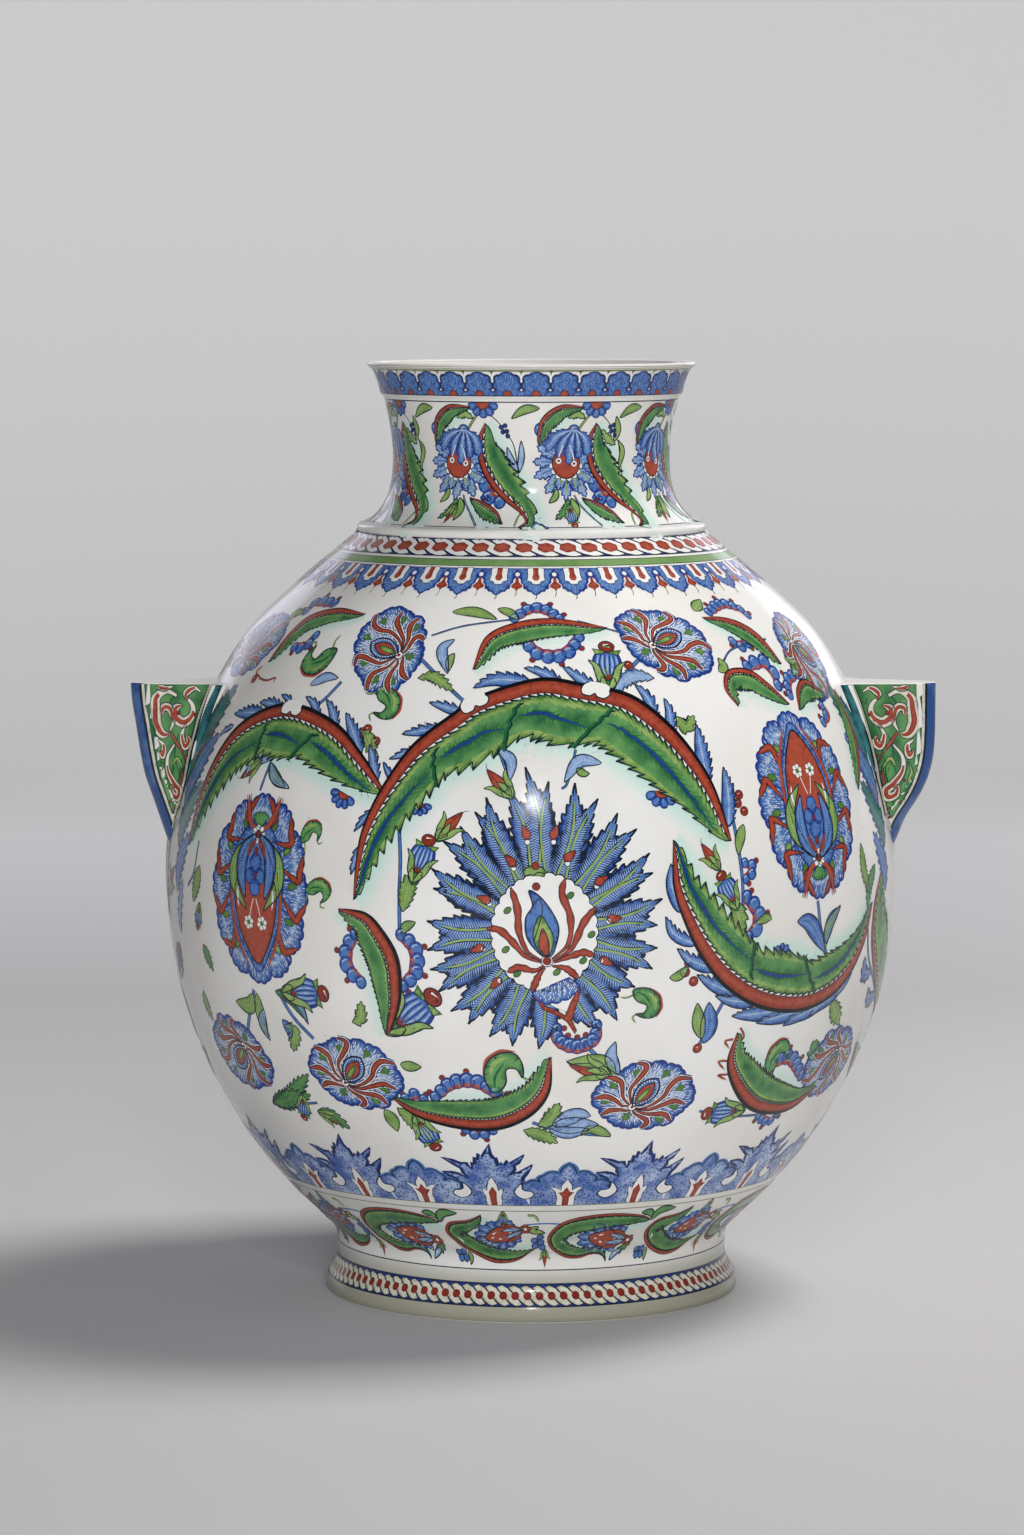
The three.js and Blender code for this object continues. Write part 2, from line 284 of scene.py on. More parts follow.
def dense(points, step=1.5, closed=False):
    """A smooth curve through chosen points, as points a step apart."""
    p = np.array(points, float)
    count = len(p)
    last = count if closed else count - 1
    out = []
    for i in range(last):
        if closed:
            a, b, c, d = (p[(i + k) % count] for k in (-1, 0, 1, 2))
        else:
            b, c = p[i], p[i + 1]
            a = p[i - 1] if i else 2 * b - c
            d = p[i + 2] if i + 2 < count else 2 * c - b
        pieces = max(2, int(np.linalg.norm(c - b) / step) + 1)
        t = np.arange(pieces)[:, None] / pieces
        out.append(0.5 * (2 * b + (c - a) * t + (2 * a - 5 * b + 4 * c - d) * t * t
                          + (3 * b - a - 3 * c + d) * t ** 3))
    if not closed:
        out.append(p[-1:])
    return np.concatenate(out)


def even(points, count):
    """The same open curve with points spread evenly along it."""
    lengths = run_of(points)
    at = np.linspace(0.0, lengths[-1], count)
    return np.stack([np.interp(at, lengths, points[:, k]) for k in (0, 1)], axis=1)


def length_of(points):
    return float(run_of(points)[-1])


def swell(t, peak=0.5, power=0.8):
    """0 at both ends and 1 at the peak."""
    t = np.clip(t, 0.0, 1.0)
    bent = t ** (math.log(0.5) / math.log(peak))
    return np.sin(np.pi * bent) ** power


def turned(points, degrees, x=0, y=0):
    """Points turned to the left about the origin, then moved."""
    c, s = math.cos(math.radians(degrees)), math.sin(math.radians(degrees))
    return np.array(points, float) @ np.array([[c, s], [-s, c]]) + (x, y)


def ring(x, y, radius, squash=1.0, steps=20, turn=0.0):
    """A round or oval outline."""
    a = np.linspace(0, 2 * np.pi, steps, endpoint=False)
    return turned(np.stack([np.cos(a), np.sin(a) * squash], axis=1) * radius, turn, x, y)


def smooth(points, step=1.0):
    """A smooth closed outline through chosen points."""
    return dense(points, step, closed=True)


def strip_faces(count, columns):
    """Two triangles for each cell of a grid of columns + 1 rows of count points."""
    a = (np.arange(count - 1) + np.arange(columns)[:, None] * count).ravel()
    return np.concatenate([np.stack([a, a + count, a + 1], axis=1),
                           np.stack([a + 1, a + count, a + 1 + count], axis=1)])


class Stencil:
    """Painted shapes in a motif's own millimetres, ready to be laid anywhere."""

    def __init__(self, seed=1, grain=6.0):
        self.shapes = []
        self.grain = grain
        self.random = np.random.default_rng(seed)

    def fill(self, paint, outline, layer=1, grain=6.0):
        """A closed patch of one paint. Its edge is 0 and its middle 1 in the attribute."""
        outline = np.array(outline, float)
        grain = min(grain, self.grain)
        low, high = outline.min(0), outline.max(0)
        inner = []
        if min(high - low) > grain:
            xs = np.arange(low[0] + 0.5 * grain, high[0], grain)
            ys = np.arange(low[1] + 0.5 * grain, high[1], grain)
            inner = [(x, y) for y in ys for x in xs]
        gaps = np.linalg.norm(np.roll(outline, -1, axis=0) - outline, axis=1)
        if gaps.max() > grain:
            rows = []
            for i, gap in enumerate(gaps):
                pieces = max(1, math.ceil(gap / grain))
                t = np.arange(pieces)[:, None] / pieces
                rows.append(outline[i] * (1 - t) + outline[(i + 1) % len(outline)] * t)
            outline = np.concatenate(rows)
        places = [Vector(p) for p in outline] + [Vector(p) for p in inner]
        result = delaunay_2d_cdt(places, [], [list(range(len(outline)))], 1, 1e-5)
        points = np.array([(v.x, v.y) for v in result[0]])
        if not len(points) or not result[2]:
            return
        faces = np.array([f for f in result[2] if len(f) == 3])
        depth = np.array([1.0 if not ids or min(ids) >= len(outline) else 0.0 for ids in result[3]])
        self.shapes.append((paint, points, faces, depth, layer))

    def band(self, paint, first, second, layer=1, columns=3, tone=None):
        """A strip between two curves of equal length. Its tone runs from the first to the second."""
        count = len(first)
        tone = tone or [0.0] + [1.0] * (columns - 1) + [0.0]
        columns = max(columns, math.ceil(np.linalg.norm(second - first, axis=1).max(initial=0.0) / self.grain))
        share = np.linspace(0.0, 1.0, columns + 1)
        rows = np.concatenate([first * (1 - k) + second * k for k in share])
        depth = np.repeat(np.interp(share, np.linspace(0.0, 1.0, len(tone)), tone), count)
        self.shapes.append((paint, rows, strip_faces(count, columns), depth, layer))

    def line(self, paint, points, width=0.8, layer=4, closed=False, taper=(1.0, 1.0), peak=None):
        """A brush line. It thins towards its ends by taper, or swells to a peak."""
        points = np.array(points, float)
        if closed:
            points = np.concatenate([points, points[:1]])
        count = len(points)
        t = np.linspace(0.0, 1.0, count)
        if closed:
            along = np.roll(points[:-1], -1, axis=0) - np.roll(points[:-1], 1, axis=0)
            side = leftward(np.concatenate([along, along[:1]]))
        else:
            side = left_of(points)
        if peak is None:
            share = np.minimum(1.0, taper[0] + (1 - taper[0]) * t * 4)
            share = np.minimum(share, taper[1] + (1 - taper[1]) * (1 - t) * 4)
        else:
            share = 0.15 + 0.85 * swell(t, peak)
        half = (0.5 * width * share * (1 + 0.12 * np.sin(7 * t * np.pi + count)))[:, None]
        both = np.concatenate([points + side * half, points - side * half])
        self.shapes.append((paint, both, strip_faces(count, 1), np.ones(len(both)), layer))

    def halo(self, paint, points, width, layer=0, closed=True):
        """A soft band that fades into the ground at both of its sides."""
        points = np.array(points, float)
        if closed:
            points = np.concatenate([points, points[:1]])
        side = left_of(points) * 0.5 * width
        self.band(paint, points + side, points - side, layer, 2, (0.0, 1.0, 0.0))

    def shape(self, paint, outline, layer=1, edge="ink", width=0.7, grain=6.0):
        """A filled patch with a drawn outline."""
        self.fill(paint, outline, layer, grain)
        self.line(edge, outline, width, layer + 1, closed=True)

    def patch(self, paint, outline, layer, width, edge="ink"):
        """A filled patch of fine grain with a drawn outline."""
        self.shape(paint, outline, layer, edge, width, 3.0)

    def dots(self, paint, places, radius, layer, width, steps=10):
        """Small discs with a drawn outline."""
        for x, y in places:
            self.shape(paint, ring(x, y, radius, steps=steps), layer, "ink", width)

    def ribbon(self, paint, axis, half, layer, edge=0.5):
        """A band along an axis, with an ink line at each edge."""
        side = left_of(axis) * half
        self.band(paint, axis + side, axis - side, layer, 2)
        for reach in (side, -side):
            self.line("ink", axis + reach, edge, layer + 1)

    def streaks(self, paint, starts, ends, width=0.45, layer=3):
        """Many short brush strokes, each a slim pointed sliver."""
        starts, ends = np.array(starts, float), np.array(ends, float)
        if not len(starts):
            return
        side = leftward(ends - starts) * 0.5 * width
        points = np.concatenate([starts + side, starts - side, ends])
        faces = np.arange(len(points)).reshape(3, -1).T
        self.shapes.append((paint, points, faces, np.ones(len(points)), layer))

    def add(self, other, x=0.0, y=0.0, turn=0.0, scale=1.0, lift=0):
        """Copies another stencil's shapes into this one."""
        for paint, points, faces, depth, layer in other.shapes:
            self.shapes.append((paint, turned(points * scale, turn, x, y), faces, depth, layer + lift))


def lift_of(layer):
    """Height of a paint layer over the ground, in metres. Later layers lie on earlier ones."""
    return (0.09 + 0.022 * layer) * MM


class Paintwork:
    """Gathers laid stencils into one mesh for each paint."""

    def __init__(self, group):
        self.group = group
        self.parts = {}

    def lay(self, stencil, chart, lift=0):
        for paint, points, faces, depth, layer in stencil.shapes:
            places, normals = chart.surface(points, lift_of(layer + lift if layer else 0))
            a, b, c = (places[faces[:, k]] for k in range(3))
            facing = np.einsum("ij,ij->i", np.cross(b - a, c - a), normals[faces[:, 0]])
            self.store(paint, places, np.where(facing[:, None] < 0, faces[:, ::-1], faces), normals, depth)

    def hoop(self, paint, skin, low, high, layer=0, tone=(1.0, 1.0)):
        """A plain band right round the vase between two heights in millimetres."""
        start, end = skin.climb_of(low), skin.climb_of(high)
        rows = max(len(tone) - 1, math.ceil((end - start) / (1.5 * MM)))
        i = np.arange(ROUND)
        share = np.linspace(0.0, 1.0, rows + 1)
        places, normals = skin.wrap(np.tile(i * 2 * np.pi / ROUND, rows + 1),
                                    np.repeat(start + (end - start) * share, ROUND), lift_of(layer))
        depth = np.repeat(np.interp(share, np.linspace(0.0, 1.0, len(tone)), tone), ROUND)
        a, b = ((ends + np.arange(rows)[:, None] * ROUND).ravel() for ends in (i, (i + 1) % ROUND))
        faces = np.concatenate([np.stack([a, b, b + ROUND], axis=1),
                                np.stack([a, b + ROUND, a + ROUND], axis=1)])
        self.store(paint, places, faces, normals, depth)

    def store(self, paint, *arrays):
        self.parts.setdefault(paint, []).append(arrays)

    def build(self):
        """Makes one piece for each paint."""
        for paint, laid in self.parts.items():
            places, faces, normals, depth = zip(*laid)
            starts = np.cumsum([0] + [len(part) for part in places])
            name = f"{self.group}_{paint}"
            mesh = bpy.data.meshes.new(name)
            mesh.from_pydata(np.concatenate(places).tolist(), [],
                             np.concatenate([part + start for part, start in zip(faces, starts)]).tolist())
            mesh.attributes.new("depth", "FLOAT", "POINT").data.foreach_set("value", np.concatenate(depth))
            mesh.shade_smooth()
            mesh.normals_split_custom_set_from_vertices(np.concatenate(normals).tolist())
            mesh.materials.append(material(paint))
            settle(linked(name, mesh))


def linked(name, mesh):
    """A new object at the origin that shows a mesh."""
    piece = bpy.data.objects.new(name, mesh)
    bpy.context.collection.objects.link(piece)
    return piece


def modelled(name, bm):
    """A new object at the origin from a bmesh."""
    mesh = bpy.data.meshes.new(name)
    bm.to_mesh(mesh)
    bm.free()
    return linked(name, mesh)


def settle(piece, node=None):
    """Ties a piece to the vase's one body, and hides the plain part that it replaces."""
    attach(piece, "root")
    if node:
        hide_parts(node)


# Materials.

def add_node(tree, kind, links=None, **settings):
    """Adds a node, sets its values and sockets, and links its inputs."""
    node = tree.nodes.new(kind)
    for key, value in settings.items():
        if key.startswith("in_"):
            name = key[3:]
            node.inputs[int(name) if name.isdigit() else name.replace("_", " ")].default_value = value
        else:
            setattr(node, key, value)
    for name, source in (links or {}).items():
        tree.links.new(source, node.inputs[name])
    return node


def fresh(name):
    made = bpy.data.materials.new(name)
    made.use_nodes = True
    made.node_tree.nodes.clear()
    return made, made.node_tree


def object_noise(tree, scale, detail=3.0, stretch=(1.0, 1.0, 1.0)):
    """Noise on the vase's own metres. Scale is in features per metre."""
    place = add_node(tree, "ShaderNodeTexCoord")
    mapping = add_node(tree, "ShaderNodeMapping", {"Vector": place.outputs["Object"]}, in_Scale=stretch)
    return add_node(tree, "ShaderNodeTexNoise", {"Vector": mapping.outputs[0]},
                    in_Scale=scale, in_Detail=detail)


def ramp(tree, source, stops):
    node = add_node(tree, "ShaderNodeValToRGB", {"Fac": source})
    elements = node.color_ramp.elements
    while len(elements) < len(stops):
        elements.new(0.5)
    for element, (position, colour) in zip(elements, stops):
        element.position = position
        element.color = colour
    return node


def ground_colour(tree, colours):
    """White tin-like ground with faint warm clouds, as a colour output."""
    clouds = object_noise(tree, 9.0, 4.0)
    blend = ramp(tree, clouds.outputs["Fac"], [(0.42, tuple(colours.glaze)),
                                               (0.78, tuple(colours.glaze_warm))])
    return blend.outputs["Color"]


def glossy(tree, colour, roughness=0.16):
    """Clear lead glaze over a colour: an even gloss with a slight hand-made ripple."""
    ripple = object_noise(tree, 55.0, 2.0)
    bump = add_node(tree, "ShaderNodeBump", {"Height": ripple.outputs["Fac"]}, in_Strength=0.05,
                    in_Distance=0.0012)
    shader = add_node(tree, "ShaderNodeBsdfPrincipled", {"Normal": bump.outputs[0], "Base Color": colour},
                      in_Roughness=roughness, in_IOR=1.5)
    add_node(tree, "ShaderNodeOutputMaterial", {"Surface": shader.outputs[0]})


def mixed(tree, factor, first, second, **settings):
    """Mixes two colours. Each is an output or a constant."""
    node = add_node(tree, "ShaderNodeMix", data_type="RGBA", **settings)
    for name, value in (("Factor", factor), ("A", first), ("B", second)):
        if isinstance(value, bpy.types.NodeSocket):
            tree.links.new(value, node.inputs[name])
        else:
            node.inputs[name].default_value = value
    return node.outputs["Result"]


def white_glaze(colours):
    """White slip under clear lead glaze, fired: pale, glossy, with faint clouds and iron specks."""
    made, tree = fresh("white_slip_under_clear_glaze")
    specks = object_noise(tree, 420.0, 1.0)
    dark = ramp(tree, specks.outputs["Fac"], [(0.80, (1, 1, 1, 1)), (0.84, linear("#A89C8C"))])
    glossy(tree, mixed(tree, 1.0, ground_colour(tree, colours), dark.outputs["Color"], blend_type="MULTIPLY"))
    return made


def pigment(name, thick, thin, scale=260.0, roughness=0.16):
    """A brushed underglaze pigment: thick where the brush rested, thin between, under the glaze."""
    made, tree = fresh(name)
    strokes = object_noise(tree, scale, 3.0)
    edge = add_node(tree, "ShaderNodeAttribute", attribute_name="depth")
    share = add_node(tree, "ShaderNodeMath", {0: edge.outputs["Fac"]}, operation="MULTIPLY_ADD", in_1=0.50,
                     in_2=-0.18)
    total = add_node(tree, "ShaderNodeMath", {0: strokes.outputs["Fac"], 1: share.outputs[0]}, operation="ADD")
    glossy(tree, ramp(tree, total.outputs[0], [(0.36, thick), (0.84, thin)]).outputs["Color"], roughness)
    return made


def stippled():
    """White slip that shows through a cobalt wash dabbed with the brush's point, 1.7 mm apart."""
    made, tree = fresh("stippled_cobalt")
    place = add_node(tree, "ShaderNodeTexCoord")
    dots = add_node(tree, "ShaderNodeTexVoronoi", {"Vector": place.outputs["Object"]}, in_Scale=1000 / 1.7)
    share = ramp(tree, dots.outputs["Distance"], [(0.26, (0, 0, 0, 1)), (0.46, (1, 1, 1, 1))])
    wash = object_noise(tree, 70.0, 2.0)
    blue = ramp(tree, wash.outputs["Fac"], [(0.35, linear("#4A68AC")), (0.68, linear("#B2C2DE"))])
    glossy(tree, mixed(tree, share.outputs["Color"], linear("#1E3A86"), blue.outputs["Color"]))
    return made


def soft_tint(name, colours, tint):
    """A stain that fades into the white ground at its edge."""
    made, tree = fresh(name)
    edge = add_node(tree, "ShaderNodeAttribute", attribute_name="depth")
    glossy(tree, mixed(tree, edge.outputs["Fac"], ground_colour(tree, colours), tint))
    return made


# Each paint's real finish, its thick and thin colours, strokes per metre and roughness.
# A colour without a # is one of VaseColours.
PIGMENTS = {
    # Cobalt oxide wash: deep at the brush's edge, pale and streaked where it is thin.
    "cobalt": ("cobalt_oxide_wash", "cobalt", "#4F78B6"),
    "cobalt_pale": ("thin_cobalt_wash", "cobalt_pale", "#9DB6D6"),
    "cobalt_deep": ("dense_cobalt_line", "#101F58", "#213C86"),
    "wing_blue": ("cobalt_on_moulded_edge", "#2E4F88", "#86A8D0", 50),
    # Chrome black and cobalt line: a near black drawn with a fine brush.
    "ink": ("blue_black_outline", "ink", "#1A2434"),
    # Copper oxide wash: transparent green that pools dark and thins to yellow green.
    "green": ("copper_green_wash", "green", "#63985A", 90),
    "green_pale": ("thin_copper_green", "green_pale", "#92AE64", 120),
    "green_deep": ("pooled_copper_green", "#0B3A22", "#1E6238", 160),
    "stripe": ("copper_green_stripe", "#4A7440", "#76995C", 90),
    "olive": ("olive_line", "#4C5420", "#7C8238"),
    # Copper green run into cobalt.
    "teal": ("copper_over_cobalt", "teal", "#3A7A7C", 160),
    # Iron-rich bole: an opaque red slip that stands slightly proud and is less glossy.
    "red": ("raised_red_bole", "red", "#A84C38", 300, 0.22),
    "red_deep": ("thick_red_bole", "#5E221A", "#8C3224", 300, 0.22),
    # The white slip left bare, and a cream slip. On the foot's cable the cream is painted shade: white strands
    # darkened where the foot lies in shade.
    "white": ("reserved_white_ground", "glaze", "glaze"),
    "cream": ("cream_slip", "#ABA792", "#DEDBCC"),
}


def make_materials(colours):
    """Every finish of the vase by its short name."""

    def tone(text):
        return linear(text) if text.startswith("#") else tuple(getattr(colours, text))

    made = {"ground": white_glaze(colours)}
    for paint, (finish, thick, thin, *brush) in PIGMENTS.items():
        made[paint] = pigment(finish, tone(thick), tone(thin), *brush)
    made["stipple"] = stippled()
    made["bleed"] = soft_tint("copper_bleed_in_glaze", colours, tone("halo"))
    # The buff tint is the thin glaze over clay, and on the foot it is also painted shade.
    made["clay"] = soft_tint("thin_glaze_over_buff_clay_and_painted_shade", colours, tone("clay"))
    return made


MATERIALS = {}


def material(paint):
    if not MATERIALS:
        MATERIALS.update(make_materials(bpy.context.scene.vase_colours))
    return MATERIALS[paint]


# Solid sections.

def revolved(name, profile, steps):
    """Spins a closed profile of radius and height into a smooth ring or bowl."""
    bm = bmesh.new()
    vertices = [bm.verts.new((r, 0.0, z)) for r, z in profile]
    on_axis = profile[0][0] < 1e-6
    edges = [bm.edges.new((a, b)) for a, b in zip(vertices, vertices[1:])]
    if not on_axis:
        edges.append(bm.edges.new((vertices[-1], vertices[0])))
    bmesh.ops.spin(bm, geom=vertices + edges, axis=(0, 0, 1), cent=(0, 0, 0), dvec=(0, 0, 0),
                   angle=2 * math.pi, steps=steps, use_merge=True)
    bmesh.ops.remove_doubles(bm, verts=bm.verts, dist=1e-6)
    bmesh.ops.recalc_face_normals(bm, faces=bm.faces)
    for face in bm.faces:
        face.smooth = True
    for edge in bm.edges:
        edge.smooth = len(edge.link_faces) == 2 and edge.calc_face_angle(0.0) < math.radians(28)
    return modelled(name, bm)


def close_to_ends(points):
    """Adds a point close to each end, so that shading stays even across a joint."""
    first = points[0] + (points[1] - points[0]) * 0.08
    last = points[-1] + (points[-2] - points[-1]) * 0.08
    return np.concatenate([points[:1], [first], points[1:-1], [last], points[-1:]])


def section(node, profile, steps):
    """Spins one glazed section in place of its plain solid."""
    piece = revolved(f"{node}_glazed", profile, steps)
    piece.data.materials.append(material("ground"))
    settle(piece, node)


class VASE_OT_sections(bpy.types.Operator):
    """Model the thrown and glazed sections: foot ring, bowl, shoulder and neck"""
    bl_idname = "vase.sections"
    bl_label = "Glazed sections"

    def execute(self, context):
        size = context.scene.vase_sizes
        steps = size.round_steps
        inset = np.array([size.glaze_inset, 0.0])
        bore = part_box("foot_ring")[1].y - 25 * MM
        low, seam = size.foot_height, size.belly_height
        shoulder, top = size.shoulder_height, size.total_height
        foot = close_to_ends(foot_outside(size) - inset)
        section("foot_ring", [(bore + 4 * MM, 0.0), *foot, (bore, low)], steps)

        wall = size.body_wall
        spigot = 6 * MM
        lower = close_to_ends(lower_outside(size) - inset)
        # The hollow starts over the waist's foot, at the outline's 15th point.
        hollow = offset_inwards(lower_outside(size)[14:], wall)[::-1]
        floor = low + 14 * MM
        heel = hollow[-1][0]
        plug = bore - 0.3 * MM
        section("lower_body", [
            (0.0, low - spigot), (plug, low - spigot), (plug, low), *lower, *hollow,
            (heel - 9 * MM, floor + 1.6 * MM), (heel - 24 * MM, floor), (0.0, floor)], steps)

        upper = close_to_ends(upper_outside(size) - inset)
        bore = 98.2 * MM
        hollow = offset_inwards(upper_outside(size), wall)
        hollow = hollow[(hollow[:, 0] > bore + 1 * MM) & (hollow[:, 1] > seam + 1 * MM)][::-1]
        section("upper_body", [
            *upper, (bore, shoulder), (bore, shoulder - spigot), *hollow, (size.belly_radius - wall, seam)],
            steps)

        neck = neck_outside(size)
        outer = close_to_ends(neck - inset)
        lip = neck[-1][0]
        # The wall follows the outline up to the ledge, at its 52nd point.
        inner = offset_inwards(neck[:52], size.neck_wall)
        inner = inner[inner[:, 1] > shoulder + spigot][::-1]
        start = inner[0]
        mouth = cubic((lip - 6.5 * MM, top - 2 * MM), (lip - 8.5 * MM, top - 6 * MM),
                      start + (4 * MM, 9 * MM), start, 10)
        edge = cubic((lip - 0.3 * MM, top - 1.4 * MM), (lip - 0.3 * MM, top), (lip - 1.2 * MM, top),
                     (lip - 2.5 * MM, top), 6)
        inner_edge = cubic((lip - 4.5 * MM, top), (lip - 5.8 * MM, top), (lip - 6.5 * MM, top - 0.6 * MM),
                           (lip - 6.5 * MM, top - 2 * MM), 5)
        section("neck", [*outer[:-1], *edge, *inner_edge, *mouth[1:], *inner[1:], (bore, shoulder)], steps)
        return {"FINISHED"}


# Brush shapes shared by the motifs.

def scallops(cusps, bulge=0.35, steps=5, closed=False):
    """Joins cusps by arcs that swell to the left of travel."""
    cusps = [np.array(p, float) for p in cusps]
    pairs = list(zip(cusps, cusps[1:] + cusps[:1] if closed else cusps[1:]))
    out = []
    for a, b in pairs:
        reach = b - a
        middle = (a + b) / 2 + np.array([-reach[1], reach[0]]) * bulge * 2
        t = np.arange(steps)[:, None] / steps
        out.append((1 - t) ** 2 * a + 2 * (1 - t) * t * middle + t * t * b)
    if not closed:
        out.append(cusps[-1][None])
    return np.concatenate(out)


def mirror_outline(points):
    """Completes an outline whose left half is given from its foot to its top."""
    left = np.array(points, float)
    right = left[::-1] * (-1, 1)
    if abs(left[-1][0]) < 1e-6:
        right = right[1:]
    return np.concatenate([left, right])


def inside(points, outline):
    """Which points lie inside a closed outline."""
    x, y = points[:, 0], points[:, 1]
    found = np.zeros(len(points), bool)
    a = np.array(outline, float)
    b = np.roll(a, -1, axis=0)
    for (x0, y0), (x1, y1) in zip(a, b):
        if y0 == y1:
            continue
        crosses = ((y0 > y) != (y1 > y)) & (x < (x1 - x0) * (y - y0) / (y1 - y0) + x0)
        found ^= crosses
    return found


def hatch(s, paint, outline, origin, gap=1.5, dash=2.0, width=0.35, layer=3):
    """Short strokes inside an outline that run away from an origin, as a loaded brush leaves them."""
    outline = np.array(outline, float)
    low, high = outline.min(0), outline.max(0)
    across = max(1, int((high[0] - low[0]) / gap))
    up = max(1, int((high[1] - low[1]) / gap))
    grid = np.stack(np.meshgrid(np.linspace(low[0], high[0], across + 1),
                                np.linspace(low[1], high[1], up + 1)), axis=-1).reshape(-1, 2)
    grid = grid + (s.random.random(grid.shape) - 0.5) * gap
    away = grid - np.array(origin, float)
    away /= np.maximum(np.linalg.norm(away, axis=1), 1e-6)[:, None]
    ends = grid + away * dash * (0.6 + 0.8 * s.random.random((len(grid), 1)))
    keep = inside(grid, outline) & inside(ends, outline)
    s.streaks(paint, grid[keep], ends[keep], width, layer)


def border(work, skin, stencil, count, low, high, width, height, start=0.0):
    """Repeats a design of a given width and height in one band, fitted to the band exactly."""
    climb_low, climb_high = skin.climb_of(low), skin.climb_of(high)
    radius = float(skin.radius_at((climb_low + climb_high) / 2))
    scale = (2 * math.pi * radius / MM / count / width, (climb_high - climb_low) / MM / height)
    for k in range(count):
        work.lay(stencil, Chart(skin, start + 360.0 * k / count, low, scale=scale, radius=radius))


def rim_dome():
    """A lobed blue dome over a red half disc, with a small olive leaf in the gap beside it."""
    s = Stencil(3)
    left = scallops([(-6.9, 3.2), (-7.7, 8.2), (-4.3, 12.2)], 0.32)
    lobed = np.concatenate([left[:-1], scallops([(-4.3, 12.2), (4.3, 12.2)], 0.24), left[::-1][1:] * (-1, 1)])
    dome = np.concatenate([[(-9.05, 0.0), (-9.05, 2.0)], lobed, [(9.05, 2.0), (9.05, 0.0)]])
    s.fill("cobalt", dome, 1, 2.0)
    s.line("cobalt_deep", lobed, 1.4, 3)
    s.line("ink", np.concatenate([[(-9.05, 2.4)], lobed, [(9.05, 2.4)]]), 0.6, 4)
    hatch(s, "cobalt_deep", dome, (0.0, -4.0), 1.4, 1.8, 0.5)
    hatch(s, "cobalt_pale", dome, (0.0, -4.0), 2.2, 1.6, 0.35)
    s.band("cobalt_pale", np.array([(-9.05, 0.1), (9.05, 0.1)]), np.array([(-9.05, 1.5), (9.05, 1.5)]), 2)
    disc = ring(0.0, 0.0, 2.9, 1.1, 18)
    half = disc[disc[:, 1] > -0.1]
    s.fill("red", half, 4, 2.0)
    s.line("ink", half, 0.5, 5)
    s.fill("olive", [(6.6, 15.5), (8.5, 14.3), (9.05, 11.9), (9.6, 14.3), (11.5, 15.5)], 2)
    return s


CABLE_PITCH = 13.7
CABLE_HEIGHT = 11.0


def cable_link(strand_paint, blob_paint, lobes, blob_width, blob_height):
    """One strand of a twisted cable, from top left to bottom right, and the blob on its left edge."""
    s = Stencil(4, 2.0)
    top = np.array([(0.12, 9.2), (0.24, 10.4), (0.5, 10.9), (0.82, 10.1), (1.1, 8.8)]) * (CABLE_PITCH, 1)
    strand = smooth(np.concatenate([top, (2.28 * CABLE_PITCH, CABLE_HEIGHT) - top]), 1.2)
    s.shape(strand_paint, strand, 2, "ink", 0.6, 2.0)
    angles = np.linspace(0.0, 2 * np.pi, 36, endpoint=False)
    swelling = 1 + lobes * np.abs(np.sin(3 * angles + 0.5))
    blob = np.stack([np.cos(angles) * blob_width, np.sin(angles) * blob_height], axis=1) * swelling[:, None]
    s.shape(blob_paint, blob + (0.64 * CABLE_PITCH, CABLE_HEIGHT / 2), 5, "red_deep", 0.45, 2.0)
    return s


def pendant():
    """A lobed blue pendant round a white-edged red tongue, and the red drop beside it."""
    s = Stencil(5)
    left = scallops([(-12.2, 16.9), (-10.3, 15.4), (-10.9, 12.6), (-9.4, 9.2), (-7.6, 5.0), (-5.0, 2.9),
                     (-2.0, 1.5)][::-1], -0.2)[::-1]
    left = np.concatenate([[(-12.2, 19.6)], left, [(0.0, 0.2)]])
    body = mirror_outline(left)
    s.fill("cobalt", body, 1, 3.0)
    s.line("cobalt_deep", body[1:-1], 1.0, 4)
    hatch(s, "cobalt_pale", body, (0.0, 14.0), 1.5, 1.5, 0.4)
    tongue = mirror_outline([(-5.6, 19.6), (-5.4, 14.0), (-5.9, 10.6), (-3.2, 9.6), (-2.4, 8.0), (0.0, 7.6)])
    s.patch("white", tongue, 4, 0.55)
    s.fill("red", mirror_outline([(-1.9, 19.6), (-1.7, 15.5), (-2.5, 12.6), (-1.6, 10.9), (0.0, 10.4)]), 6,
           3.0)
    s.fill("white", ring(12.2, 15.0, 1.5), 5)
    s.line("cobalt_deep", ring(12.2, 15.0, 1.9), 0.8, 5, closed=True)
    drop = np.array([(10.2, 14.4), (11.4, 12.0), (11.0, 9.4), (8.2, 6.6), (9.6, 5.2), (11.2, 4.6),
                     (12.2, 2.6)])
    drop = np.concatenate([drop, (24.4, 0.0) - drop[::-1][1:] * (1, -1)])
    s.fill("red", drop, 3, 3.0)
    s.line("ink", dense([(12.2, 2.8), (12.0, 0.6), (11.2, -1.2)]), 0.4, 4, taper=(1.0, 0.2))
    s.line("ink", dense([(0.0, 0.4), (0.2, -1.6), (-1.0, -3.0)]), 0.5, 4, taper=(1.0, 0.2))
    return s


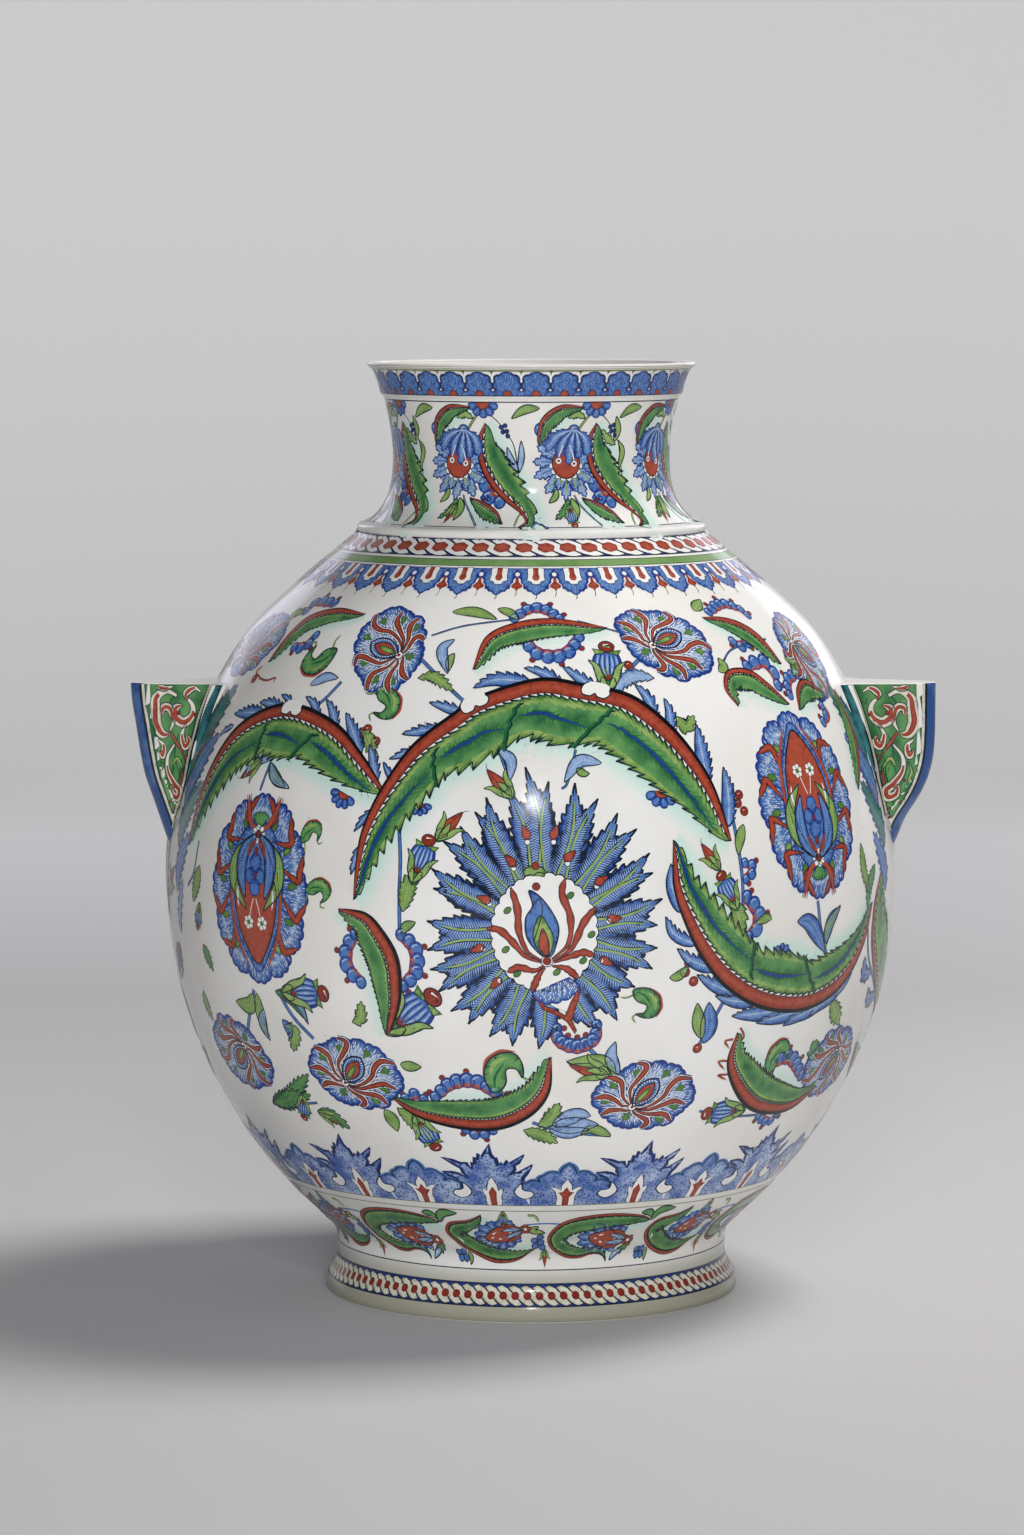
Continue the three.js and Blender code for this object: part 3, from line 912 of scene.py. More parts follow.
def crest():
    """One spiky fleuron and one lobed palmette in stippled blue, with hooked white gaps between."""
    s = Stencil(6)
    spiky = [(-20.0, 0.0), (-20.0, 7.0), (-17.0, 12.0), (-16.5, 19.0), (-19.0, 24.0), (-22.0, 26.0),
             (-25.0, 29.5), (-20.0, 29.4), (-17.0, 28.4), (-12.5, 25.0), (-14.5, 29.6), (-15.0, 33.0),
             (-19.0, 37.0), (-24.0, 42.0), (-19.0, 40.0), (-15.0, 37.6), (-12.0, 37.8), (-9.6, 33.0),
             (-8.8, 38.6), (-7.6, 36.8), (-7.2, 43.0), (-5.9, 40.6), (-5.2, 46.2), (-3.9, 43.4), (-2.0, 47.0),
             (0.4, 54.0), (0.8, 46.0), (2.2, 42.4), (3.0, 43.2), (4.2, 36.0), (6.2, 38.8), (7.2, 36.6),
             (9.0, 40.8), (10.4, 38.4), (17.4, 45.4), (14.4, 38.6), (12.2, 36.4), (12.6, 33.2), (9.6, 28.0),
             (13.0, 30.6), (14.4, 30.2), (21.6, 37.0), (18.6, 30.0), (16.6, 25.8), (16.0, 19.0), (15.4, 12.0),
             (17.5, 7.0), (20.0, 0.0)]
    s.fill("stipple", spiky, 1, 3.0)
    s.line("cobalt_deep", spiky[2:-2], 2.2, 2)
    s.line("ink", spiky[2:-2], 0.8, 3)
    middle = (40.0, 0.0)
    lobes = scallops([(-23.8, 15.0), (-21.0, 21.8), (-14.2, 21.6)], 0.28)
    upper = scallops([(-14.2, 21.6), (-12.4, 28.0), (-4.2, 29.2)], 0.3)
    top = scallops([(-4.2, 29.2), (0.0, 37.8)], 0.12)
    left = np.concatenate([[(-20, 0), (-20, 6), (-19.5, 13)], lobes, upper[1:], top[1:]])
    palmette = mirror_outline(left) + middle
    s.fill("stipple", palmette, 1, 3.0)
    s.line("cobalt", palmette[2:-2], 3.4, 2)
    s.line("ink", palmette[2:-2], 0.9, 3)
    hook = smooth([(-24.4, 20.6), (-27.4, 15.9), (-28.3, 11.9), (-26.1, 8.2), (-22.4, 6.3), (-18.9, 8.0),
                  (-17.5, 11.0), (-19.3, 13.6), (-21.8, 13.9), (-23.7, 15.4), (-24.0, 18.0)], 1.2)
    for flip in (1, -1):
        s.patch("white", hook * (flip, 1) + middle, 4, 0.8)
    plain = [(-4.2, 0.0), (-4.4, 8.0), (-5.8, 16.4), (-3.2, 13.8), (-2.8, 18.5), (-0.6, 26.0), (1.2, 24.0),
             (2.8, 18.5), (3.2, 13.8), (5.8, 16.4), (4.6, 8.0), (4.3, 0.0)]
    s.patch("white", plain, 4, 0.6)
    s.shape("red", [(-1.6, 0.0), (-1.9, 9.0), (-2.1, 12.5), (0.0, 17.5), (1.8, 12.5), (1.5, 6.0), (1.6, 0.0)],
            6, "red_deep", 0.4, 3.0)
    tulip = [(-5.2, 0.0), (-5.0, 7.5), (-6.2, 13.0), (-9.0, 17.4), (-5.4, 16.8), (-3.0, 14.2), (-3.0, 18.6),
             (0.0, 24.4), (3.0, 18.6), (3.0, 14.2), (5.4, 16.8), (9.0, 17.4), (6.2, 13.0), (5.0, 7.5),
             (5.2, 0.0)]
    s.patch("white", np.array(tulip) + middle, 4, 0.6)
    flame = [(-1.6, 0.0), (-1.7, 8.0), (-4.2, 12.4), (-1.9, 12.6), (0.0, 17.2), (1.9, 12.6), (4.2, 12.4),
             (1.7, 8.0), (1.6, 0.0)]
    s.patch("red", np.array(flame) + middle, 6, 0.4, "red_deep")
    return s


# Plain bands: paint, lower and upper height in millimetres, layer, and tone from low to high.
HOOPS = {
    "rim_border": (
        ("clay", 596.4, 599.4, 0, (0.3, 1.0)), ("olive", 595.6, 596.4, 1), ("ink", 579.9, 580.5, 1),
        ("ink", 575.9, 576.6, 1)),
    "shoulder_border": (
        ("ink", 498.0, 498.5, 1), ("cobalt_deep", 481.2, 491.6, 0), ("ink", 491.1, 491.8, 2),
        ("ink", 480.9, 481.5, 4), ("stripe", 475.8, 479.3, 0), ("ink", 479.3, 479.6, 1),
        ("ink", 475.5, 475.8, 1)),
    "lower_border": (("olive", 80.4, 80.9, 2), ("olive", 76.2, 76.7, 2), ("ink", 32.2, 32.9, 2)),
    # On the foot the buff bands get deeper towards the bottom: painted shade under the belly, over a brownish
    # glaze.
    "foot_border": (
        ("clay", 0.4, 10.4, 0, (1.0, 0.9, 0.8)), ("clay", 23.6, 32.2, 0, (0.7, 0.5, 0.25)),
        ("cobalt_deep", 10.2, 24.0, 1), ("ink", 23.4, 24.1, 3), ("ink", 9.8, 10.5, 5)),
}


class VASE_OT_borders(bpy.types.Operator):
    """Paint the bands that run right round: rim, cable, pendants, crest and foot"""
    bl_idname = "vase.borders"
    bl_label = "Painted borders"

    def execute(self, context):
        skin = Skin(context.scene.vase_sizes)
        # Repeated designs: stencil, count, lower and upper height, the design's own size, and first place.
        designs = {
            "rim_border": ((rim_dome(), 34, 580.4, 596, 18.1, 15.6, 1.5),),
            "shoulder_border": (
                (cable_link("white", "red", 0.14, 4.7, 2.4), 54, 481, 491.6, CABLE_PITCH, CABLE_HEIGHT),
                (pendant(), 38, 458.8, 474.8, 24.4, 20, 1)),
            "lower_border": ((crest(), 12, 80.9, 124, 80, 54, -8),),
            # The foot's cable strands are cream: white darkened as painted shade.
            "foot_border": (
                (cable_link("cream", "red_deep", 0, 4.3, 2), 106, 10.4, 23, CABLE_PITCH, CABLE_HEIGHT),),
        }
        for name, hoops in HOOPS.items():
            work = Paintwork(name)
            for paint, *hoop in hoops:
                work.hoop(paint, skin, *hoop)
            for design in designs[name]:
                border(work, skin, *design)
            work.build()
        return {"FINISHED"}


# Motifs of the main field, each in millimetres.

def small_leaf(s, points, width, paint="cobalt_pale", serrate=0.0, sides=(1, 1), vein=None, edge="ink",
               layer=2, peak=0.45, line=0.7):
    """A pointed leaf along a bent axis, with or without saw teeth."""
    axis = dense(points, 0.8)
    t = np.linspace(0.0, 1.0, len(axis))
    half = 0.5 * width * swell(t, peak, 0.8)
    side = left_of(axis)
    edges = []
    for sign, cut in zip((1, -1), sides):
        reach = half.copy()
        shift = np.zeros(len(axis))
        if serrate and cut:
            saw = (t * length_of(axis) / serrate) % 1.0
            bite = np.minimum(0.3 * serrate, 0.45 * half)
            reach = half - bite + 2 * bite * saw
            shift = bite * saw
        edges.append(axis + side * (sign * reach)[:, None] + (side[:, ::-1] * (1, -1)) * shift[:, None])
    s.band(paint, edges[0], edges[1], layer, 4)
    s.line(edge, np.concatenate([edges[0], edges[1][::-1]]), line, layer + 1, closed=True)
    if vein:
        s.line(vein, axis[int(0.06 * len(axis)):int(0.85 * len(axis))], max(0.7, 0.12 * width), layer + 2,
               taper=(1.0, 0.2))
    if width > 5:
        pick = np.arange(3, len(axis) - 4, max(1, int(1.7 / 0.8)))
        for sign in (1, -1):
            start = axis[pick] + side[pick] * (sign * 0.18 * half[pick])[:, None]
            end = axis[pick + 2] + side[pick] * (sign * 0.72 * half[pick])[:, None]
            s.streaks("cobalt" if paint == "cobalt_pale" else "cobalt_pale" if paint == "cobalt" else
                      "green_deep", start, end, 0.45, layer + 1)
    return axis


def leaves(s, *rows, layer=2):
    """Small leaves from rows of paint, width, tooth and axis."""
    for paint, width, tooth, *axis in rows:
        small_leaf(s, axis, width, paint, tooth, layer=layer)


def leaflet(s, points):
    """A blue toothed leaflet whose foot is tucked under the great leaf's back."""
    points = np.array(points)
    points[0] = 1.4 * points[0] - 0.4 * points[1]
    small_leaf(s, points, 0.27 * length_of(points), "cobalt", 5, (0, 1), "cobalt_pale", line=0.8, peak=0.36)


def berry(radius):
    """A red ball with a glint."""
    s = Stencil()
    s.shape("red", ring(0, 0, radius, steps=12), 3, "ink", 0.4)
    s.streaks("white", [(-0.8, 0.6)], [(0.6, 1.0)], 0.6, 5)
    return s


def stem(s, points, width, paint="cobalt"):
    """A stalk drawn as two fine lines with a wash between."""
    axis = dense(points, 1.5)
    side = left_of(axis) * 0.5 * width
    s.line(paint, axis, width, 1)
    s.line("ink", axis + side, 0.5, 2)
    s.line("ink", axis - side, 0.5, 2)


def tendril(s, points, paint="green_pale", width=1.0):
    """A fine curl that thins to its end."""
    axis = dense(points, 0.8)
    s.line(paint, axis, width, 1, taper=(1.0, 0.2))
    s.line("ink", axis + left_of(axis) * 0.45 * width, 0.4, 2, taper=(1.0, 0.2))


def fan(s, x, y, radius, petals, start, end, core="red"):
    """Part of a round flower: lobed petals round a red core, between two angles."""
    span = (end - start) / petals
    for k in range(petals):
        angle = math.radians(start + span * (k + 0.5))
        half = math.radians(abs(span) * 0.5)
        outer = [(x + math.cos(angle + u * half) * radius * r, y + math.sin(angle + u * half) * radius * r)
                 for u, r in ((-0.92, 0.42), (-0.98, 0.82), (-0.4, 1.0), (0.4, 1.0), (0.98, 0.82),
                              (0.92, 0.42))]
        petal = smooth(outer)
        s.patch("cobalt", petal, 2, 0.8, "cobalt_deep")
        middle = [(x + math.cos(angle) * radius * r, y + math.sin(angle) * radius * r) for r in (0.5, 0.9)]
        s.line("cobalt_pale", np.array(middle), 1.1, 4, peak=0.5)
    sweep = np.radians(np.linspace(start, end, 14))
    centre = np.stack([x + np.cos(sweep) * radius * 0.46, y + np.sin(sweep) * radius * 0.46], axis=1)
    s.patch(core, centre, 4, 0.5)


def caterpillar(s, points, radius, lift=2, dots=True):
    """A row of round blue lobes with green eyes and red dots, along a bent line."""
    axis = dense(points, 0.8)
    count = max(3, int(length_of(axis) / (radius * 1.25)))
    beads = even(axis, count)
    side = -left_of(beads)
    for k, (bead, out) in enumerate(zip(beads, side)):
        size = radius * (0.75 + 0.35 * math.sin(math.pi * (k + 0.5) / count))
        lobe = ring(bead[0] + out[0] * size * 0.4, bead[1] + out[1] * size * 0.4, size, 1.15, 16)
        s.patch("cobalt", lobe, lift, 0.8, "cobalt_deep")
        s.line("cobalt_pale", lobe[3:8] * 0.6 + np.array(bead + out * size * 0.5) * 0.4, 1.0, lift + 2)
        s.line("green_pale", np.array([bead - out * size * 0.6,
                                       bead + out * size * 0.2]) + side[k][::-1] * 0.5,
               1.2, lift + 2, peak=0.5)
        if dots and k % 2 == 0:
            s.shape("red", ring(bead[0] + out[0] * size * 1.75, bead[1] + out[1] * size * 1.75, 2.0, steps=8),
                    lift, "ink", 0.3)
    base = even(axis, 24)
    s.line("red", base + left_of(base) * radius * 0.45, radius * 0.7, lift + 1, peak=0.5)


def saz_leaf(s, spine, width, red, side=1, tooth=10.5, peak=0.5, joints=(0.0, 1.0), black=2.6, notches=(),
             white_teeth=0.28):
    """A long curved leaf: black and red back, and a toothed green blade of overlapping leaflets."""
    curve = dense(spine, 2.0)
    span = length_of(curve)
    curve = even(curve, max(30, int(span / 0.9)))
    count = len(curve)
    t = np.linspace(0.0, 1.0, count)
    along = np.gradient(curve, axis=0)
    along /= np.linalg.norm(along, axis=1)[:, None]
    inward = left_of(curve) * side
    back = red * swell(t, peak, 0.6)
    joints = np.array(joints)
    part = np.clip(np.searchsorted(joints, t, side="right") - 1, 0, len(joints) - 2)
    share = (t - joints[part]) / (joints[part + 1] - joints[part])
    many = len(joints) > 2
    body = width * swell(t, peak, 0.65)
    if many:
        body = body * (0.84 + 0.18 * np.sin(np.pi * share) ** 0.7)
    saw = (t * span / tooth) % 1.0
    fine = (t * span / (0.55 * tooth)) % 1.0
    bite = np.minimum(0.46 * tooth, 0.34 * body + 0.2)
    rag = np.minimum(white_teeth * 0.8 * tooth, 0.2 * body)
    inner = curve + inward * (back + 0.3 + rag * (1 - fine))[:, None] + along * (rag * fine)[:, None]
    rim = curve + inward * (back + body)[:, None]
    outer = rim + inward * (bite * (saw - 0.5))[:, None] + along * (bite * saw * 0.9)[:, None]
    s.halo("bleed", rim + inward * 2.0, 0.5 * width + 6.0, 0, closed=False)
    s.band("white", curve + inward * (back - 0.4)[:, None], curve + inward * (back + 0.3 + rag)[:, None], 1, 1)
    s.band("green_pale", inner, outer, 2, 8, (0.1, 1.0, 0.6, 0.0, 0.0, 0.6, 1.0, 0.1))

    def at(place, depth):
        k = np.clip((np.array(place) * (count - 1)).astype(int), 0, count - 1)
        depth = np.array(depth)[:, None]
        return inner[k] * (1 - depth) + rim[k] * depth

    core = t[int(0.03 * count):int(0.97 * count)]
    s.band("green", at(core, np.full(len(core), 0.18)), at(core, np.full(len(core), 0.82)), 3, 3,
           (0.9, 0.3, 0.9))
    s.band("red", curve, curve + inward * back[:, None], 4, 2)
    s.line("ink", curve + inward * (back + 0.1)[:, None], 0.5, 5)
    s.line("ink", outer, 0.8, 5)
    s.line("ink", inner, 0.6, 5)
    s.band("ink", curve, curve - inward * (black * swell(t, peak, 0.7))[:, None], 5, 1)
    for edge, depth, reach in ((outer, 1, 0.30), (inner, -1, 0.20)):
        phase = saw if depth == 1 else fine
        notch = np.flatnonzero(np.diff(phase) < -0.5)
        notch = notch[(notch > 3) & (notch < count - 4)]
        for slip, thick in ((0.0, 1.3), (0.4, 0.8)):
            k = np.minimum(notch + int(tooth * slip / 0.9), count - 1)
            deep = np.minimum(reach * body[k], 5.5)[:, None]
            s.streaks("ink" if not slip else "green_deep", edge[k],
                      edge[k] - inward[k] * deep * 0.62 * depth - along[k] * deep * 1.1, thick, 6)
    if many:
        for first, last in zip(joints, joints[1:]):
            steps = np.linspace(first + 0.03, last - 0.005, 40)
            bow = np.linspace(0.0, 1.0, 40)
            rib = even(at(steps, 0.58 - 0.16 * bow - 0.08 * np.sin(np.pi * bow)), 40)
            flank = left_of(rib)
            s.line("green_deep", rib, 4.2, 4, peak=0.6)
            s.line("cobalt_deep", rib, 2.0, 7, peak=0.6)
            pick = np.arange(2, 37, 2)
            for sign in (1, -1):
                s.streaks("green_deep", rib[pick] + flank[pick] * sign * 0.8,
                          rib[pick] + flank[pick] * sign * 5.6 - (rib[pick + 1] - rib[pick - 1]) * 1.6, 0.7, 6)
            if last < 1.0:
                steps = np.linspace(last - 0.015, last + 0.045, 16)
                edge = at(steps, np.linspace(0.12, 1.04, 16) ** 1.2)
                s.line("ink", edge, 1.0, 7)
                ahead = along[int(last * (count - 1))]
                s.line("green_deep", edge + ahead * 1.4, 2.2, 6)
                s.streaks("ink", edge[1::2], edge[1::2] - ahead * 3.2 + (edge[1] - edge[0]), 0.9, 7)
    for place in notches:
        k = int(place * (count - 1))
        outward = -inward[k]
        cloud = [(-8.5, 0.5), (-9.5, -2.5), (-6.5, -5.5), (-2.0, -5.0), (0.0, -3.0), (2.5, -5.2), (7.5, -4.6),
                 (9.0, -1.5), (8.0, 2.0), (4.0, 4.2), (-4.0, 4.2), (-8.0, 2.8)]
        gap = np.array([curve[k] + along[k] * x + outward * y for x, y in smooth(cloud, 1.2)])
        s.fill("white", gap, 7, 3.0)
        s.line("ink", gap[:int(0.72 * len(gap))], 0.9, 8)


def bud(blue):
    """A blue or red bud on a short green calyx that points up from its foot."""
    s = Stencil(11)
    for sign in (-1, 1):
        small_leaf(s, [(0, 0), (sign * 3.2, 6), (sign * 5.2, 12), (sign * 8.5, 15)], 3.6, "green_pale",
                   layer=3, line=0.5)
    if blue:
        body = smooth([(0, 4), (-5.2, 8), (-6.4, 14), (-4.5, 19), (0, 20.5), (4.5, 19), (6.4, 14), (5.2, 8)])
        s.patch("cobalt", body, 1, 0.9, "cobalt_deep")
        for x in (-4.2, -2.1, 0, 2.1, 4.2):
            rib = dense([(x * 0.7, 8), (x * 1.1, 13), (x * 0.9, 18)])
            s.line("cobalt_pale", rib, 0.9, 3, peak=0.5)
            s.line("cobalt_deep", rib + (1, 0), 0.5, 3)
        s.patch("red", [(-3.4, 5), (-2.6, 10), (-0.6, 6.4), (0, 10.5), (0.6, 6.4), (2.6, 10), (3.4, 5)], 3,
                0.4)
        s.patch("green_pale", [(-5, 18), (-6.5, 21), (-3, 20.4), (-2, 23), (2, 23), (3, 20.4), (6.5, 21),
                               (5, 18), (0, 19.5)], 3, 0.5)
        s.shape("red", ring(0, 22.5, 3.6, 0.8), 5, "ink", 0.5)
        # A painted highlight: a white glint on the red ball, as on the berries.
        s.streaks("white", [(-1.5, 23.2)], [(1.5, 24.0)], 0.8, 7)
    else:
        s.patch("red", smooth([(0, 4), (-3.6, 8), (-3.4, 13), (-0.5, 21), (0.8, 21), (3.2, 13), (3.6, 8)]), 1,
                0.5)
        s.line("red_deep", dense([(0, 7), (-0.6, 13), (0.2, 19)]), 0.8, 3)
        s.line("ink", dense([(0.2, 20), (1.2, 23.5), (3, 24.5)]), 0.4, 3, taper=(1, 0.2))
        small_leaf(s, [(0, 1), (0.4, 7), (-0.6, 12.5)], 4, "green_pale", layer=4, line=0.5)
    s.patch("green", smooth([(0, -1), (-3.4, 2.6), (-2.8, 6.6), (0, 5.2), (2.8, 6.6), (3.4, 2.6)]), 3, 0.5)
    return s


def curled_leaf():
    """A short green leaf that rolls over at its tip, with a red lining."""
    s = Stencil(12)
    body = smooth([(0, 0), (-6, 6), (-7, 14), (-3, 20), (3, 22), (8, 18), (10, 12), (6, 15), (2, 13), (4, 7),
                   (3, 2)])
    s.patch("green", body, 2, 0.7)
    s.line("red", dense([(-6.6, 6), (-7.8, 14), (-3.4, 21), (3, 23)]), 1.6, 1, peak=0.5)
    s.line("green_deep", dense([(0.5, 2), (-1.5, 8), (0, 16)]), 1.3, 4, peak=0.5)
    s.line("green_pale", dense([(-4, 8), (-4, 14), (0, 19)]), 2.2, 4, peak=0.5)
    s.streaks("ink", [(-6.5, 7), (-6.9, 11), (-5, 17), (5, 21)], [(-3.8, 9), (-4, 13), (-2.5, 16), (4, 17.5)],
              0.8, 4)
    tendril(s, [(10, 12), (13, 12), (14, 16)])
    tendril(s, [(3, 2), (7, 0), (9, -3)])
    return s


CARNATION_EDGE = (
    (-27, -5), (-27.5, 0), (-28.5, 5), (-27, 9), (-24.5, 12), (-22.5, 15), (-21.5, 19), (-18.5, 23.5),
    (-14, 27), (-10, 29), (-8, 33), (-1.5, 34.5), (3, 37), (9, 37.5), (13.5, 35.5), (19.5, 36), (21.5, 33),
    (26, 32), (29, 28.5), (31, 22), (30, 19), (30, 14), (28.5, 11), (29, 3.5), (25, 1), (22.5, -1),
    (18.5, -7), (14, -6), (11.5, -10), (7.5, -13), (3.5, -14.5), (-2, -15.5), (-7, -14.5), (-12.5, -15),
    (-16, -11.5), (-18.5, -13), (-24.5, -10))
CARNATION_VEINS = (
    ((-5, 0.5), (-10, 2), (-16, 7.5), (-19.5, 9), (-25, 8), (-29, 5.5)),
    ((-5.5, 4), (-10, 9), (-10.5, 17), (-11, 24), (-13.5, 26.5), (-19, 24.5)),
    ((-4, -1.8), (-6, -3), (-12, -2.6), (-19, -4), (-24.5, -9.5)),
    ((-0.5, -3.6), (-5, -6), (-10, -10), (-12, -15.5)),
    ((5.5, 2), (10, 9), (12, 17.5), (10.5, 24.5), (12, 32), (19.5, 37)),
    ((5.5, 1.5), (11, 5), (16, 12.5), (21, 19), (28.5, 21)),
    ((6, 0), (12.5, 2), (19, 6.5), (23.5, 8), (29, 6.5)),
    ((4.5, -2.5), (10.5, -2), (15, -2), (17, -4.5), (15.5, -8.5)))
CARNATION_GREENS = ((-20.5, 4.5), (-14, 19), (-17, -6.5), (2, -7), (2, 29.5), (17, 27.5), (23, 15.5),
                    (21.5, 3.5))


def carnation():
    """A fan flower seen open: scalloped blue petals and red veins that swirl round an almond eye."""
    s = Stencil(13)
    outline = scallops(CARNATION_EDGE, 0.22, 5, closed=True)
    middle = np.array((0.0, 11.0))
    inner = (outline - middle) * 0.83 + middle
    s.fill("cobalt", outline, 1, 3.5)
    s.line("cobalt_deep", outline, 1.9, 3, closed=True)
    s.fill("cobalt_pale", inner, 2, 3.5)
    hatch(s, "white", outline, (0, 0), 2.0, 3.0, 0.62, 4)
    hatch(s, "cobalt_deep", outline, (0, 0), 2.8, 2.8, 0.5, 3)
    for vein in CARNATION_VEINS:
        path = dense(((0, 0),) + vein, 0.9)
        t = np.linspace(0.0, 1.0, len(path))
        tip = 1 - 0.8 * np.clip((t - 0.8) / 0.2, 0, 1)
        half = (0.3 + 1.35 * np.clip(t * 1.5, 0, 1) ** 1.2 * tip)[:, None]
        s.ribbon("red", path, half, 6)
        for side in (left_of(path), -left_of(path)):
            s.line("cobalt_deep", path + side * (half + 1.3), 0.8, 3, taper=(1.0, 0.4))
            s.line("white", path + side * (half + 0.6), 0.5, 5, taper=(1.0, 0.4))
    for x, y in CARNATION_GREENS:
        wedge = ((0, -4.2), (2.8, 1.2), (0.6, 3.4), (-2.8, 1.2))
        s.shape("green_pale", turned(wedge, math.degrees(math.atan2(y, x)) - 90, x, y), 5, "ink", 0.5)
    centre = np.array((0.0, 13.0))
    eye = mirror_outline(dense([(0.0, 0.5), (-5.0, 6.0), (-7.2, 13.5), (-5.0, 20.5), (0.0, 24.5)], 1.2))
    s.patch("cobalt", eye, 8, 1.0)
    s.streaks("white", ((eye - centre) * 0.88 + centre)[::2], ((eye - centre) * 0.72 + centre)[::2], 0.9, 10)
    almond = mirror_outline(dense([(0.0, 2.5), (-3.4, 7.5), (-4.4, 13.0), (-2.4, 18.0), (0.0, 21.0)], 1.2))
    s.patch("red", almond, 9, 0.7)
    s.patch("green_pale", almond * (0.4, 0.8) + (0.0, 0.6), 10, 0.4)
    s.shape("white", ring(0, 0, 2.6, 1, 10), 9, "ink", 0.5)
    s.fill("red", ring(0, 0, 1.1, 1, 8), 10)
    return s


FEATHER_TIPS = (
    (-12, 87), (2, 78), (18, 77), (32, 67), (44, 58), (56, 48), (64, 33), (66, 21), (72, 5), (69, -11),
    (69, -25), (66, -38), (55, -49), (44, -70), (32, -76), (-4, -88), (-20, -86), (-34, -80), (-47, -72),
    (-58, -64), (-66, -52), (-71, -38), (-73, -26), (-73, -8), (-69, 12), (-70, 24), (-63, 41), (-52, 50),
    (-43, 59), (-36, 68), (-23, 74))


